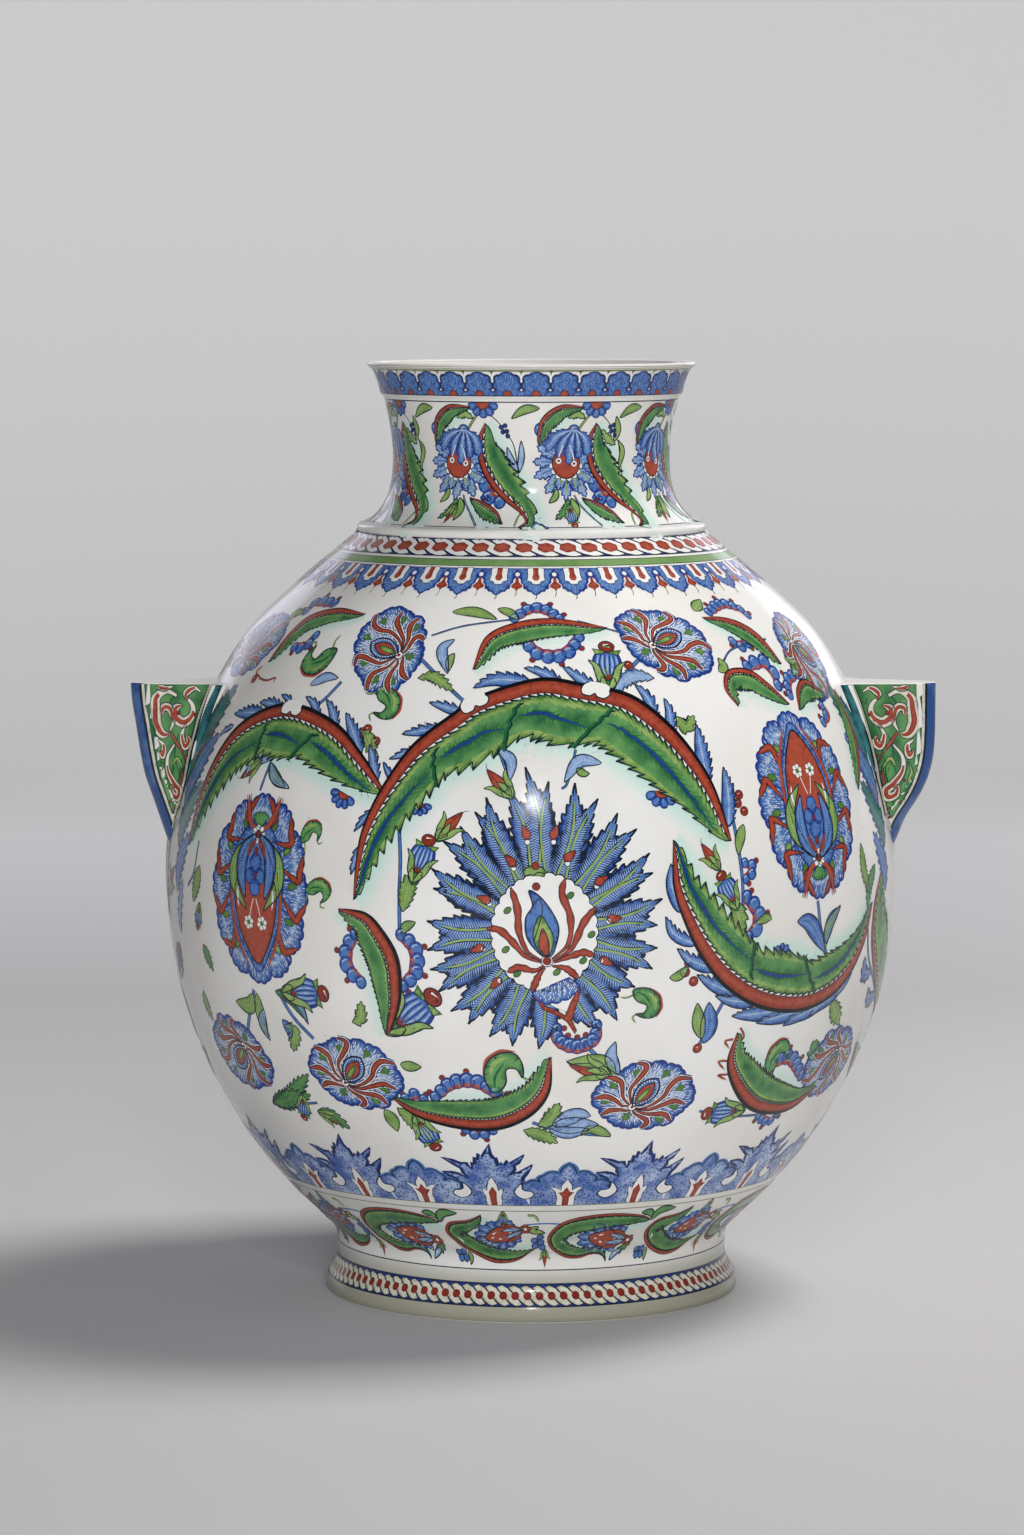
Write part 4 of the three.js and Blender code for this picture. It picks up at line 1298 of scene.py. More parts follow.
def feathered_palmette():
    """The great central flower: a ring of blue feathers round a white field with red S-curves and a bud."""
    s = Stencil(14)
    centre = np.array((-1.0, -14.0))
    for index, tip in enumerate(FEATHER_TIPS):
        tip = np.array(tip, float)
        reach = tip - centre
        base = centre + reach / np.hypot(reach[0] / 29.0, reach[1] / 33.0)
        length = np.linalg.norm(tip - base)
        side = np.array([-(tip - base)[1], (tip - base)[0]]) / length
        bend = side * length * (0.07 if index % 2 else -0.07)
        axis = dense([base, (base + tip) / 2 + bend, tip], 0.8)
        t = np.linspace(0.0, 1.0, len(axis))
        half = (4.0 + 4.6 * np.sin(np.pi * np.clip(t * 1.05, 0, 1) ** 0.75)) * np.clip((1 - t) * 2.6, 0, 1)
        across = left_of(axis)
        ahead = across[:, ::-1] * (1, -1)
        saw = (t * length / 6.5) % 1.0
        bite = np.minimum(2.6, 0.5 * half)
        shift = ahead * (bite * saw)[:, None]
        edges = [axis + across * (sign * (half - 0.6 * bite + bite * saw))[:, None] + shift for sign in (1,
                                                                                                         -1)]
        layer = 1 + index % 2
        s.band("cobalt", edges[0], edges[1], layer, 4)
        s.line("ink", np.concatenate([edges[0], edges[1][::-1]]), 1.2, layer + 2, closed=True)
        s.line("green_pale", axis[:int(0.82 * len(axis))], 1.5, 6, taper=(1.0, 0.3))
        s.line("ink", axis[:int(0.8 * len(axis))] + across[:int(0.8 * len(axis))] * 0.8, 0.4, 7)
        pick = np.arange(4, int(0.88 * len(axis)), 2)
        for sign in (1, -1):
            start = axis[pick] + across[pick] * sign * 1.4
            end = axis[pick] + across[pick] * (sign * 0.74 * half[pick])[:, None] + ahead[pick] * 2.0
            s.streaks("cobalt_pale", start, end, 0.8, 5)
            s.streaks("cobalt_deep", start + ahead[pick] * 0.8, end + ahead[pick] * 0.8, 0.45, 6)
    field_angles = np.linspace(0, 2 * np.pi, 31)[:-1]
    cusps = [centre + (math.sin(a) * 31.5, math.cos(a) * 35.5) for a in field_angles]
    field = scallops(cusps, 0.22, 5, closed=True)
    s.shape("white", field, 8, "ink", 0.7, 4.0)
    boss = np.array((0.6, -31.5))
    strokes = [
        [(-3, 0), (-12, 6), (-17, 18), (-18, 32), (-22, 45)],
        [(-3, -1), (-13, 3), (-22, 13), (-29, 19), (-37, 20)],
        [(-2, -3), (-8, -6), (-17, -4), (-24, -7)], [(-1, -4), (-5, -9), (-9, -19)],
        [(3, 1), (13, 11), (14, 27), (9, 41), (11, 51)], [(4, 0), (15, 8), (22, 23), (30, 33)],
        [(4, -1), (15, 3), (22, 5), (29, 3)], [(3, -3), (12, -5), (19, -11)]]
    for path in strokes:
        axis = dense(np.array(path, float) + boss, 0.8)
        t = np.linspace(0.0, 1.0, len(axis))
        half = (0.4 + 1.7 * np.clip(t * 1.8, 0, 1) * (1 + 0.16 * np.sin(t * 28)))[:, None]
        s.ribbon("red", axis, half * np.clip((1 - t) * 9, 0.2, 1)[:, None], 9)
    for x, y in ((-24, 31), (-25, 7), (-18, -8), (14, 40), (27, 16), (22, 0), (6, -7)):
        s.shape("green_pale", ring(boss[0] + x, boss[1] + y, 2.6, 0.7, 10, turn=40), 9, "ink", 0.5)
    outer = smooth([(-4, 4), (-12, 14), (-13, 26), (-9, 34), (-11, 43), (-4, 39), (3, 30), (7, 20), (5, 8),
                    (2, 3)]) + boss
    s.patch("cobalt", outer, 9, 0.9)
    s.line("ink", dense([(-9, 33), (-5, 38), (-3, 30), (-8, 12)]) + boss, 0.7, 11)
    s.patch("green_pale", smooth([(-2, 3), (-8, 12), (-8, 20), (-4, 28), (1, 21), (4, 14), (2, 5)]) + boss,
            10, 0.7)
    s.shape("red", smooth([(-1, 3), (-5, 9), (-4.5, 15), (-2.5, 20), (1, 12), (1, 5)]) + boss, 11,
            "ink", 0.6, 3.0)
    s.shape("white", ring(boss[0], boss[1], 3.6), 10, "ink", 0.6)
    s.shape("red", ring(boss[0], boss[1], 2.5), 11, "ink", 0.4)
    s.patch("green_pale", scallops([(-13, 20.5), (-10, 26), (-4, 26), (-1, 20)], 0.3), 9, 0.6)
    s.shape("red", ring(-6.5, 26.5, 2.4), 11, "ink", 0.4)
    s.shape("red", ring(-6, 14, 2.4), 10, "ink", 0.4)
    for x, y, turn in ((-12, 46, 20), (5, 46, -20), (-21, 29, 40), (14, 32, -50), (-37, 6, 70), (33, 17, -60),
                       (-41, -24, 110), (41, -6, -90), (-30, -45, 140), (36, -32, -120)):
        drop = turned([(0, -4), (-2.6, -1.5), (-2.2, 1.4), (0, 5.5), (2.2, 1.4), (2.6, -1.5)], turn, x, y)
        s.patch("red", smooth(drop, 0.8), 8, 0.5)
        s.shape("white", ring(x * 0.93, y * 0.93 - 2.0, 1.6), 8, "ink", 0.4)
    fan_left = scallops([(-8, -51), (-3, -57), (4, -57.5), (10, -56), (16, -53), (20.5, -46.5)], -0.2)
    crescent = np.concatenate([[(-8, -51)], fan_left, [(14, -42), (5, -46)]])
    s.patch("cobalt", crescent, 9, 1.0, "cobalt_deep")
    hatch(s, "white", crescent, (5, -30), 1.6, 2.2, 0.5, 11)
    heart = [(-7, -53), (0, -60), (7, -63), (12, -66), (15, -58), (20.5, -47), (21, -51), (18.5, -60),
             (16, -69), (19, -76), (18, -78), (13, -70), (8, -66.5), (-2, -62)]
    s.patch("white", [(0, -57), (8, -56), (14, -54), (18, -51), (13.5, -64), (6, -61)], 8, 0.4)
    s.patch("red", heart, 10, 0.6)
    return s


def heart_palmette():
    """A tall oval flower: scalloped blue petals with red hooks round a red heart that points down."""
    s = Stencil(15)
    wide, tall = 43, 58

    def oval(angle, x, y=None):
        """A place at shares of the flower's half width and half height."""
        return math.sin(angle) * wide * x, math.cos(angle) * tall * (x if y is None else y)

    petals = 12
    starts = [2 * math.pi * (k + 0.5) / petals for k in range(petals)]
    cusps = []
    for start in starts:
        for share in (0, 0.25, 0.5, 0.75):
            cusps.append(oval(start + 2 * math.pi * share / petals, 1.0 if share else 0.90))
    outline = scallops(cusps, 0.27, 5, closed=True)
    s.fill("cobalt", outline, 1, 4.0)
    s.line("cobalt_deep", outline, 1.6, 3, closed=True)
    s.halo("cobalt_pale", outline * 0.84, 5.0, 2)
    hatch(s, "white", outline, (0, 0), 2.3, 2.8, 0.5, 4)
    hatch(s, "cobalt_deep", outline * 0.8, (0, 0), 2.6, 3.0, 0.5, 3)
    for k, a in enumerate(starts):
        if k in (5, 6):
            continue
        sign = 1 if a < math.pi else -1
        low = oval(a + 0.10 * sign, 0.86, 0.80)
        path = dense([oval(a - 0.20 * sign, 0.55, 0.62), low, oval(a, 0.92, 0.90),
                      oval(a - 0.16 * sign, 1.03, 1)], 0.8)
        t = np.linspace(0.0, 1.0, len(path))
        s.ribbon("red", path, (2.4 * swell(np.clip(t, 0.02, 0.98), 0.6, 0.7))[:, None], 6)
        s.line("cobalt_deep", dense([oval(a, 0.45, 0.52), low, oval(a + 0.1 * sign, 1)]), 1.0, 5)
        spot = ring(*oval(a + 0.17 * sign, 0.76), 3.8, 0.6, 12, turn=90 - math.degrees(a))
        s.shape("green_pale", spot, 5, "ink", 0.5)
    inner = smooth(mirror_outline([(0, -52), (-12, -38), (-22, -18), (-25, 4), (-21, 24), (-11, 38),
                                   (0, 42)])[:-1], 1.5)
    s.shape("cobalt", inner, 6, "cobalt_deep", 1.0, 4.0)
    hatch(s, "cobalt_pale", inner, (0, -60), 2.4, 2.6, 0.5, 7)
    heart = smooth(mirror_outline([(0, -47), (-8, -39), (-16, -24), (-19.5, -6), (-17, 6), (-9, 9),
                                   (0, 4)])[:-1], 1.2)
    s.shape("red", heart, 8, "ink", 1.1, 4.0)
    for sign in (1, -1):
        mirrored = np.array((sign, 1))
        strip = dense(mirrored * [(8, -50), (19, -30), (23, -8), (21.5, 12)], 1)
        s.line("red", strip, 2.6, 8, peak=0.5)
        s.line("ink", strip + left_of(strip) * 1.4, 0.5, 9)
        eye = mirrored * (6.2, -21)
        for k in range(6):
            a = math.radians(60 * k + 15)
            s.shape("white", ring(eye[0] + math.cos(a) * 2.9, eye[1] + math.sin(a) * 2.9, 1.7, steps=8), 10,
                    "ink", 0.25)
        s.fill("green_pale", ring(*eye, 1.6, steps=8), 11)
        s.line("white", dense(mirrored * [(4.96, -17), (3.1, -11), (1.24, -6)]), 0.6, 10)
        s.line("white", dense(mirrored * [(15.5, -12), (16.6, -5), (15.8, 1)]), 1.6, 10, peak=0.5)
        for points, width, paint, layer, line in (
                ([(5, 32), (19, 18), (20, 2), (8, -13)], 9, "green_pale", 9, 0.9),
                ([(1.5, 34), (11, 24), (13.5, 10), (9, -6)], 10, "cobalt", 10, 0.9),
                ([(1, 31), (5, 26), (8.5, 19)], 3.4, "red", 11, 0.4)):
            small_leaf(s, mirrored * points, width, paint, layer=layer, line=line)
        horn = dense(mirrored * [(1, 36), (8, 40), (12, 47), (15, 58)], 0.8)
        s.line("red", horn, 4.0, 9, peak=0.45)
        for side in (2.0 * left_of(horn), -2.0 * left_of(horn)):
            s.line("ink", horn + side, 0.5, 10)
    for x, y, r in ((0, 16, 5.4), (-4.2, 8, 4.6), (4.2, 8, 4.6), (0, 1, 4.8)):
        s.patch("cobalt", ring(x, y, r, 1.1, 16), 10, 0.9, "cobalt_deep")
    s.shape("red", ring(0, 23, 1.9, 1.6), 10, "ink", 0.4)
    s.shape("red", ring(0, 9, 2, 1.2), 11, "ink", 0.4)
    s.patch("green", [(-8, 45), (-3, 40), (0, 36.5), (3, 40), (8, 45), (4, 47.5), (-4, 47.5)], 9, 0.6)
    s.dots("white", ring(0, 34, 4, steps=7), 2.1, 10, 0.3, 8)
    s.shape("red", ring(0, 34, 2.6), 11, "ink", 0.4)
    return s


# Layout of the main field. A place is (degrees round from the front, millimetres above the foot).

def traced(skin, places):
    """The middle place, and all the places in millimetres from it."""
    azimuth, height = places[len(places) // 2]
    chart = Chart(skin, azimuth, height)
    return (azimuth, height), [chart.local(a, h) for a, h in places]


def around(work, skin, stencil, place, turn=0.0, scale=1.0, lift=0):
    """Lays a stencil on the front of the vase and again on its back."""
    for side in (FRONT, BACK):
        work.lay(stencil, Chart(skin, place[0] + side, place[1], turn, (scale, scale)), lift)


def aimed(work, skin, stencil, foot, tip, length=None, lift=0):
    """Lays a motif that points up so that it runs from its foot to its tip."""
    x, y = Chart(skin, *foot).local(*tip)
    scale = math.hypot(x, y) / length if length else 1.0
    around(work, skin, stencil, foot, math.degrees(math.atan2(y, x)) - 90, scale, lift)


# Long saz leaves, from base to tip: lift, width of the blade, width of the red back, side, details, places.
SAZ_LEAVES = (
    (3, 27, 6.5, 1, dict(peak=0.45, notches=(0.43,), joints=(0, 0.3, 0.52, 1)),
     ((-23.5, 342), (-25.5, 351), (-29, 364), (-34, 378), (-41, 387), (-48, 389), (-55, 382), (-60.5, 369),
      (-64, 349), (-66, 326), (-67, 298))),
    (5, 31, 8, 1, dict(peak=0.42, notches=(0.385, 0.595), joints=(0, 0.35, 0.53, 0.7, 1)),
     ((31.5, 312), (29.5, 342), (27, 362), (23, 382), (17, 399), (8.5, 406), (1, 409), (-9, 399),
      (-13.5, 388), (-19.5, 370), (-23.5, 347), (-26, 325), (-27, 306), (-27.5, 277))),
    (3, 27, 8, -1, dict(peak=0.48, joints=(0, 0.34, 0.58, 1)),
     ((65.5, 262), (63, 237), (58.5, 217), (52.5, 206), (45.5, 203), (37.5, 209), (31, 223), (26.5, 242),
      (23.5, 263), (21.5, 286), (21.5, 314))),
    (5, 13, 6, 1, dict(tooth=4.5),
     ((-23, 193), (-21, 212), (-20.5, 229), (-21, 244), (-23, 258), (-25.5, 268), (-30, 271))),
    (5, 15, 6, 1, dict(tooth=5),
     ((-24, 152), (-20, 142), (-13, 136), (-6, 136), (-0.5, 145), (2.5, 160), (3, 182))),
    (2, 17, 6, -1, dict(tooth=5),
     ((59.5, 146), (54, 136), (48, 135), (41.5, 141), (36.5, 155), (33.5, 173), (34, 192))),
    (4, 12, 4.5, 1, dict(tooth=4.5, black=0.8),
     ((15.5, 440), (5, 445), (-3, 443), (-9, 435), (-11, 416))),
    (4, 11, 4.5, 1, dict(tooth=4.5, black=0.8),
     ((-38.5, 446), (-47.5, 448), (-55, 443), (-57.5, 433), (-59, 414))),
    (4, 11, 4.5, -1, dict(tooth=4.5, black=0.8),
     ((39, 444), (44.5, 443), (49, 439), (52, 431), (54, 414))),
    (3, 12, 3, 1, dict(tooth=4.5, black=0.8),
     ((51, 390), (47, 404), (43.5, 412), (38.5, 412), (36.5, 402), (38, 391))),
    (3, 11, 3, -1, dict(tooth=5, black=0.8),
     ((68, 401), (70.5, 384), (70.5, 367), (68.5, 351), (64.5, 333))),
    (3, 12, 3, -1, dict(tooth=4.5, black=0.8),
     ((53, 386), (55, 398), (59, 403), (64, 394))),
    (3, 28, 4, -1, dict(black=1.5),
     ((81, 182), (74.5, 202), (69.5, 220), (66.5, 240), (66.5, 262), (69, 280))),
    # The unseen sides, by the handles.
    (3, 15, 5, -1, dict(tooth=5),
     ((99, 246), (96.5, 278), (98, 312), (103, 342), (108, 356))),
    (3, 15, 5, 1, dict(tooth=5),
     ((72, 168), (77, 149), (87, 140), (98, 145), (104, 162))),
)

# Blue leaflets on the outer side of the three great leaves, from the spine to the leaflet's tip.
LEAFLETS = (
    ((-2, 409), (-6.5, 410), (-10.5, 405)), ((4.5, 409), (2, 414), (-1.5, 417)),
    ((11, 405), (8.5, 411), (5.5, 418)), ((23.5, 379), (24, 389), (23.5, 398)),
    ((21, 388), (20.5, 398), (18.5, 407)), ((28.5, 352), (28.5, 367), (28.5, 382)),
    ((31.5, 326), (32, 340), (32, 356)), ((-12.5, 391), (-15.5, 394), (-18, 396)),
    ((-16, 381), (-19, 379), (-22, 377)), ((-19.5, 368), (-21.5, 365), (-23.5, 362)),
    ((-22.5, 350), (-23.5, 355), (-24.5, 360)), ((-25.5, 330), (-26.5, 326), (-28, 318)),
    ((-27, 307), (-27.5, 300), (-28, 292)), ((-54.5, 384), (-58, 383), (-62.5, 381)),
    ((-49, 388), (-52, 390), (-55.5, 390)), ((-46.5, 389), (-47.5, 393), (-50, 396)),
    ((-39.5, 386), (-41, 392), (-43.5, 396)), ((-35, 381), (-36.5, 389), (-38.5, 395)),
    ((-29.5, 368), (-31.5, 379), (-33.5, 388)), ((-25.5, 352), (-26.5, 362), (-27.5, 370)),
    ((-62, 373), (-64, 370), (-65, 366)), ((22, 275), (21, 287), (21, 300)),
    ((24, 252), (21.5, 257), (20, 268)), ((27.5, 235), (24.5, 240), (22, 248)),
    ((31.5, 219), (28.5, 224), (25.5, 231)), ((35.5, 211), (32, 213), (29, 217)),
    ((40.5, 203), (36, 203), (32.5, 203)), ((46, 201), (41.5, 199), (37.5, 197)),
    ((51, 202), (47, 198), (43.5, 193)), ((56, 209), (52.5, 203), (49.5, 197)),
    ((59.5, 220), (58, 213), (56, 206)),
)

# Stalks: width in millimetres, then places.
STALKS = (
    (2, ((-22, 423), (-17.5, 412), (-13, 400), (-10.5, 394))),
    (2.4, ((24, 429), (19.5, 419), (16, 409), (13.5, 400))), (1, ((-20.5, 435), (-14, 441), (-4, 445))),
    (1, ((9.5, 444), (14.5, 440), (19, 436))), (2, ((-36.5, 406), (-38.5, 397), (-41, 388))),
    (2, ((-20.5, 321), (-20, 302), (-20, 281), (-20, 256))),
    (2, ((32, 331), (32.5, 312), (33, 286), (33, 256))), (2.4, ((-48.5, 214), (-51.5, 193), (-53, 183))),
    (2.4, ((-43, 216), (-40.5, 200), (-37, 187))), (2.4, ((7.5, 193), (11, 179), (15.5, 165))),
    (2.2, ((27, 184), (28.5, 197), (30.5, 212))), (2, ((0, 139), (5, 133), (14, 129))),
    (2.2, ((48.5, 270), (49.5, 253), (51.5, 235))), (1.6, ((-48, 338), (-47, 357))),
    (1.2, ((7, 369), (5.5, 350), (4.5, 346))), (1.4, ((-5.5, 369), (-4, 355), (-3, 344))),
    (1.4, ((48, 134), (37.5, 136), (30, 142))), (1, ((53.5, 429), (42.5, 425), (38, 417))),
    (1.4, ((55, 204), (58.5, 190), (65, 174))), (1.8, ((64, 249), (67, 223), (79, 189))),
    (1.4, ((-63, 302), (-64, 283), (-66.5, 272))), (1.4, ((-52.5, 139), (-47.5, 140), (-40, 144))),
)

# Small leaves: paint, tooth in millimetres or 0, then width in millimetres and places.
LEAVES = (
    ("green_pale", 0, (
        (8, (-17.5, 449), (-12.5, 449), (-7.5, 445)), (6, (-7.5, 451), (-5, 449), (-3, 445)),
        (5, (-15, 425), (-15.5, 421), (-15.5, 414)), (5, (7, 358), (8, 355), (9, 355)),
        (8, (-47, 355), (-45.5, 348), (-42.5, 341)), (6, (-19.5, 258), (-19, 262), (-17.5, 265)),
        (9, (13.5, 402), (13, 410), (14, 417)), (7, (34, 321), (33, 312), (32.5, 303)),
        (6, (38.5, 262), (37.5, 263), (35.5, 260)), (8, (51, 240), (51.5, 252), (54.5, 265)),
        (11, (-49, 211), (-50.5, 203), (-54, 204)), (9, (-48, 212), (-48, 200), (-47.5, 183)),
        (7, (14, 129), (10.5, 134), (8.5, 130)), (7, (-21.5, 175), (-20, 174), (-18, 174)),
        (10, (13.5, 169), (11, 178), (5.5, 179)), (9, (27.5, 190), (26.5, 202), (26, 213)),
        (6, (21, 230), (22.5, 231), (24, 237)), (9, (56, 417), (58, 413), (56, 406)),
        (7, (36.5, 412), (38, 415), (37.5, 420)), (8, (38, 448), (40, 451), (42, 454)),
        (9, (-26, 144), (-25, 138), (-24.5, 130)), (8, (-62, 439), (-62, 443), (-59, 444)))),
    ("green_pale", 4, (
        (8, (-21, 410), (-18, 411), (-14, 403)), (10, (-19.5, 271), (-18.5, 288), (-17, 298)),
        (10, (-42.5, 194), (-41, 190), (-42, 177)), (10, (1, 137), (3, 141), (4.5, 152)),
        (9, (-1.5, 134), (2, 130), (4.5, 125)), (10, (-23.5, 146), (-21, 138), (-18, 125)),
        (8, (-29, 200), (-27.5, 203), (-27, 214)), (10, (-62, 287), (-63, 276), (-64.5, 263)),
        (8, (-65, 206), (-65, 197), (-64, 187)), (8, (61.5, 301), (62, 284), (64, 268)),
        (9, (25, 387), (26.5, 381), (28.5, 387)), (8, (-29.5, 378), (-28, 374), (-26, 360)),
        (9, (92, 186), (96, 182), (99, 190)))),
    ("cobalt_pale", 0, (
        (7, (-15.5, 433), (-17.5, 427), (-15.5, 413)), (7, (-43.5, 403), (-40.5, 408), (-37.5, 408)),
        (7, (-5.5, 369), (-3.5, 363), (-3.5, 351)), (8, (11, 361), (7.5, 362), (5, 350)),
        (7, (-47, 355), (-45, 346), (-41.5, 341)), (6, (-47, 358), (-51, 354), (-53, 344)),
        (7, (-47, 202), (-48, 192), (-47, 182)), (6, (-43, 215), (-39, 209), (-37.5, 196)),
        (11, (3.5, 137), (7.5, 144), (10, 143)), (12, (3, 136), (7.5, 137), (11.5, 137)),
        (9, (3, 134), (6.5, 132), (10, 134)), (8, (14, 170), (12.5, 181), (13, 191)),
        (9, (92, 214), (89, 222), (88, 236)))),
    ("cobalt_pale", 4, (
        (9, (22.5, 410), (18, 411), (13.5, 400)),)),
    ("green_pale", 5, (
        (12, (30.5, 273), (32, 269), (33, 253)), (12, (55, 204), (58, 193), (59.5, 187)))),
    ("cobalt", 0, (
        (12, (44, 259), (47, 256), (51, 237)), (9, (51, 242), (52, 256), (54.5, 264)),
        (7, (-43, 197), (-42, 192), (-42, 185)), (12, (28, 187), (28.5, 198), (28, 213)))),
    ("green", 0, (
        (9, (-43.5, 215), (-40, 211), (-37.5, 198)),)),
    ("green", 5, (
        (12, (55, 166), (53.5, 174), (53.5, 180)), (12, (-52.5, 138), (-47, 144), (-40, 163)),
        (14, (-52.5, 139), (-48.5, 142), (-41, 149)))),
    ("green", 4, (
        (10, (-40.5, 139), (-37.5, 136), (-34.5, 129)), (8, (-62, 237), (-61, 231), (-59.5, 221)),
        (9, (66.5, 286), (64, 273), (63.5, 259)))),
    ("cobalt", 5, (
        (10, (69, 216), (65.5, 216), (64.5, 228)), (10, (76, 198), (71, 197), (69, 206)))),
)

# Flowers, buds and rolled leaves of each kind: foot, tip.
FLOWERS = {
    "carnation": (
        ((-26, 423), (-33.5, 430)), ((24, 429), (33, 437)), ((-32.5, 160), (-28, 180)),
        ((17, 148), (21.5, 169)), ((-55, 175), (-59.5, 160)), ((63.5, 168), (59.5, 152)),
        ((-71.5, 416), (-68, 436)), ((62.5, 425), (67, 410)), ((89, 180), (94, 196))),
    "blue_bud": (
        ((13.5, 403), (14.5, 431)), ((-18, 289), (-15.5, 317)), ((32, 270), (29, 293)),
        ((-42, 215), (-33, 217)), ((-23, 195), (-14.5, 221)), ((40, 139), (31, 140)),
        ((-20.5, 142), (-17.5, 119)), ((-43, 148), (-45, 131)), ((-62, 263), (-63.5, 246)),
        ((101, 208), (106, 230))),
    "red_bud": (
        ((-14.5, 315), (-10.5, 333)), ((29, 295), (26, 312)), ((12.5, 170), (5.5, 177)),
        ((-3, 341), (-7.5, 358)), ((-49.5, 356), (-54, 343)), ((-40.5, 138), (-35.5, 131)),
        ((101, 262), (106, 282))),
    "rolled": (
        ((-28, 404), (-23.5, 386)), ((-37.5, 310), (-34, 323)), ((-36, 281), (-31, 283)),
        ((-40.5, 424), (-48, 410)), ((-6.5, 159), (-3.5, 188)), ((15.5, 224), (20, 207)),
        ((42.5, 162), (45, 186)), ((95, 400), (99, 424))),
}

# Clusters of blue lobes: lobe radius, places.
CLUSTERS = (
    (4.2, ((-27, 255), (-28.5, 246), (-28.5, 235), (-26.5, 227))),
    (4.2, ((-20, 226), (-18, 235), (-18, 248), (-20, 256))),
    (4.2, ((-5, 154), (-9, 164), (-13, 163), (-16, 154))),
    (3.6, ((5.5, 445), (2.5, 450), (-0.5, 450), (-3.5, 445))),
    (4, ((-1.5, 434), (1.5, 426), (6, 426), (9, 435))), (3.8, ((-50.5, 450), (-57, 450), (-58, 445))),
    (3.6, ((-53, 425), (-50, 426), (-49, 432))), (3.6, ((53, 443), (52, 447), (47.5, 450), (42, 446))),
    (3.4, ((43.5, 430), (45, 427), (48.5, 431))), (4.4, ((49.5, 402), (50, 407), (48.5, 415), (44, 413))),
    (3.6, ((57, 406), (53.5, 403), (52.5, 395))), (4.4, ((34, 253), (35.5, 259), (35.5, 267), (33.5, 276))),
    (3, ((33.5, 289), (35, 294), (33.5, 297))), (4.4, ((52, 156), (47.5, 169), (44, 168), (43.5, 160))),
    (4, ((10.2, 202), (9.8, 192), (6.8, 187), (3.8, 192), (3.4, 200))),
    (3.2, ((-18.5, 152), (-19.5, 155), (-21.5, 152))), (3, ((44.5, 134), (48, 129), (49.5, 133))),
    (3, ((-11.5, 134), (-9.5, 131), (-7, 134))), (3.4, ((61.5, 386), (62, 381), (59.5, 376))),
)

# Half flowers that hang under a leaf: radius, first and last angle, place.
HALF_FLOWERS = (
    (11, 185, 360, (20.5, 344)), (10, 165, 330, (-30.5, 341)), (8, 200, 350, (-17.5, 337)),
    (7, 190, 350, (27, 336)), (8, 0, 180, (41, 238)),
)

# Berries: radius and places.
BERRIES = (
    (3.2, ((-29.5, 377), (-28.5, 379), (-26.5, 372), (24, 239), (23.5, 233), (25, 227), (27, 184))),
    (3.0, ((32.5, 342), (34, 339), (33.5, 334), (34.5, 329), (-61, 403), (18, 418))),
)

# Fine red curls.
CURLS = (
    ((-59.5, 404), (-56.5, 403), (-54, 405), (-54, 402)), ((-60.5, 411), (-61.5, 407), (-59, 404)),
    ((34.5, 195), (35.5, 189), (34.5, 184)), ((33.5, 188), (32, 187), (33, 182)),
    ((33.5, 174), (31.5, 174), (33, 168)), ((34, 165), (32, 165), (34, 161)),
)


class VASE_OT_field(bpy.types.Operator):
    """Paint the main field: great leaves, palmettes, carnations, buds and stalks"""
    bl_idname = "vase.field"
    bl_label = "Painted field"

    def execute(self, context):
        skin = Skin(context.scene.vase_sizes)
        work = Paintwork("field")

        def drawn(draw, places, *details, lift=0, seed=1, **named):
            """Draws one motif along its places, in front and behind."""
            place, points = traced(skin, places)
            s = Stencil(seed)
            draw(s, points, *details, **named)
            around(work, skin, s, place, lift=lift)

        for width, places in STALKS:
            drawn(stem, places, width)
        for radius, places in CLUSTERS:
            drawn(caterpillar, places, radius)
        for paint, tooth, rows in LEAVES:
            for width, *places in rows:
                drawn(small_leaf, places, width, paint, tooth, lift=1)
        for radius, first, last, place in HALF_FLOWERS:
            s = Stencil()
            fan(s, 0, 0, radius, 5, first, last)
            around(work, skin, s, place)
        for radius, places in BERRIES:
            for place in places:
                around(work, skin, berry(radius), place)
        for places in CURLS:
            drawn(tendril, places, "red", 1.5)
        # Each kind's stencil, its own length where it is fitted to foot and tip, and its lift.
        kinds = {"carnation": (carnation(), None, 0), "blue_bud": (bud(True), 24.5, 2),
                 "red_bud": (bud(False), 23, 2), "rolled": (curled_leaf(), 24, 2)}
        for kind, rows in FLOWERS.items():
            stencil, length, lift = kinds[kind]
            for foot, tip in rows:
                aimed(work, skin, stencil, foot, tip, length, lift)
        around(work, skin, feathered_palmette(), (2, 274))
        around(work, skin, heart_palmette(), (-46.5, 278))
        around(work, skin, heart_palmette(), (49, 330), turn=180)
        for lift, width, red, side, details, places in SAZ_LEAVES:
            drawn(saz_leaf, places, width, red, side, lift=lift, seed=int(width), **details)
        for places in LEAFLETS:
            drawn(leaflet, places, lift=2)
        work.build()
        return {"FINISHED"}


# Neck and foot bands.

class Belt(Chart):
    """A chart whose x is millimetres round a chosen radius, and whose y is the height itself."""

    def surface(self, points, lift):
        climb = self.skin.climb_at(points[:, 1] * MM)
        return self.skin.wrap(self.angle + points[:, 0] * MM / self.radius, climb, lift)


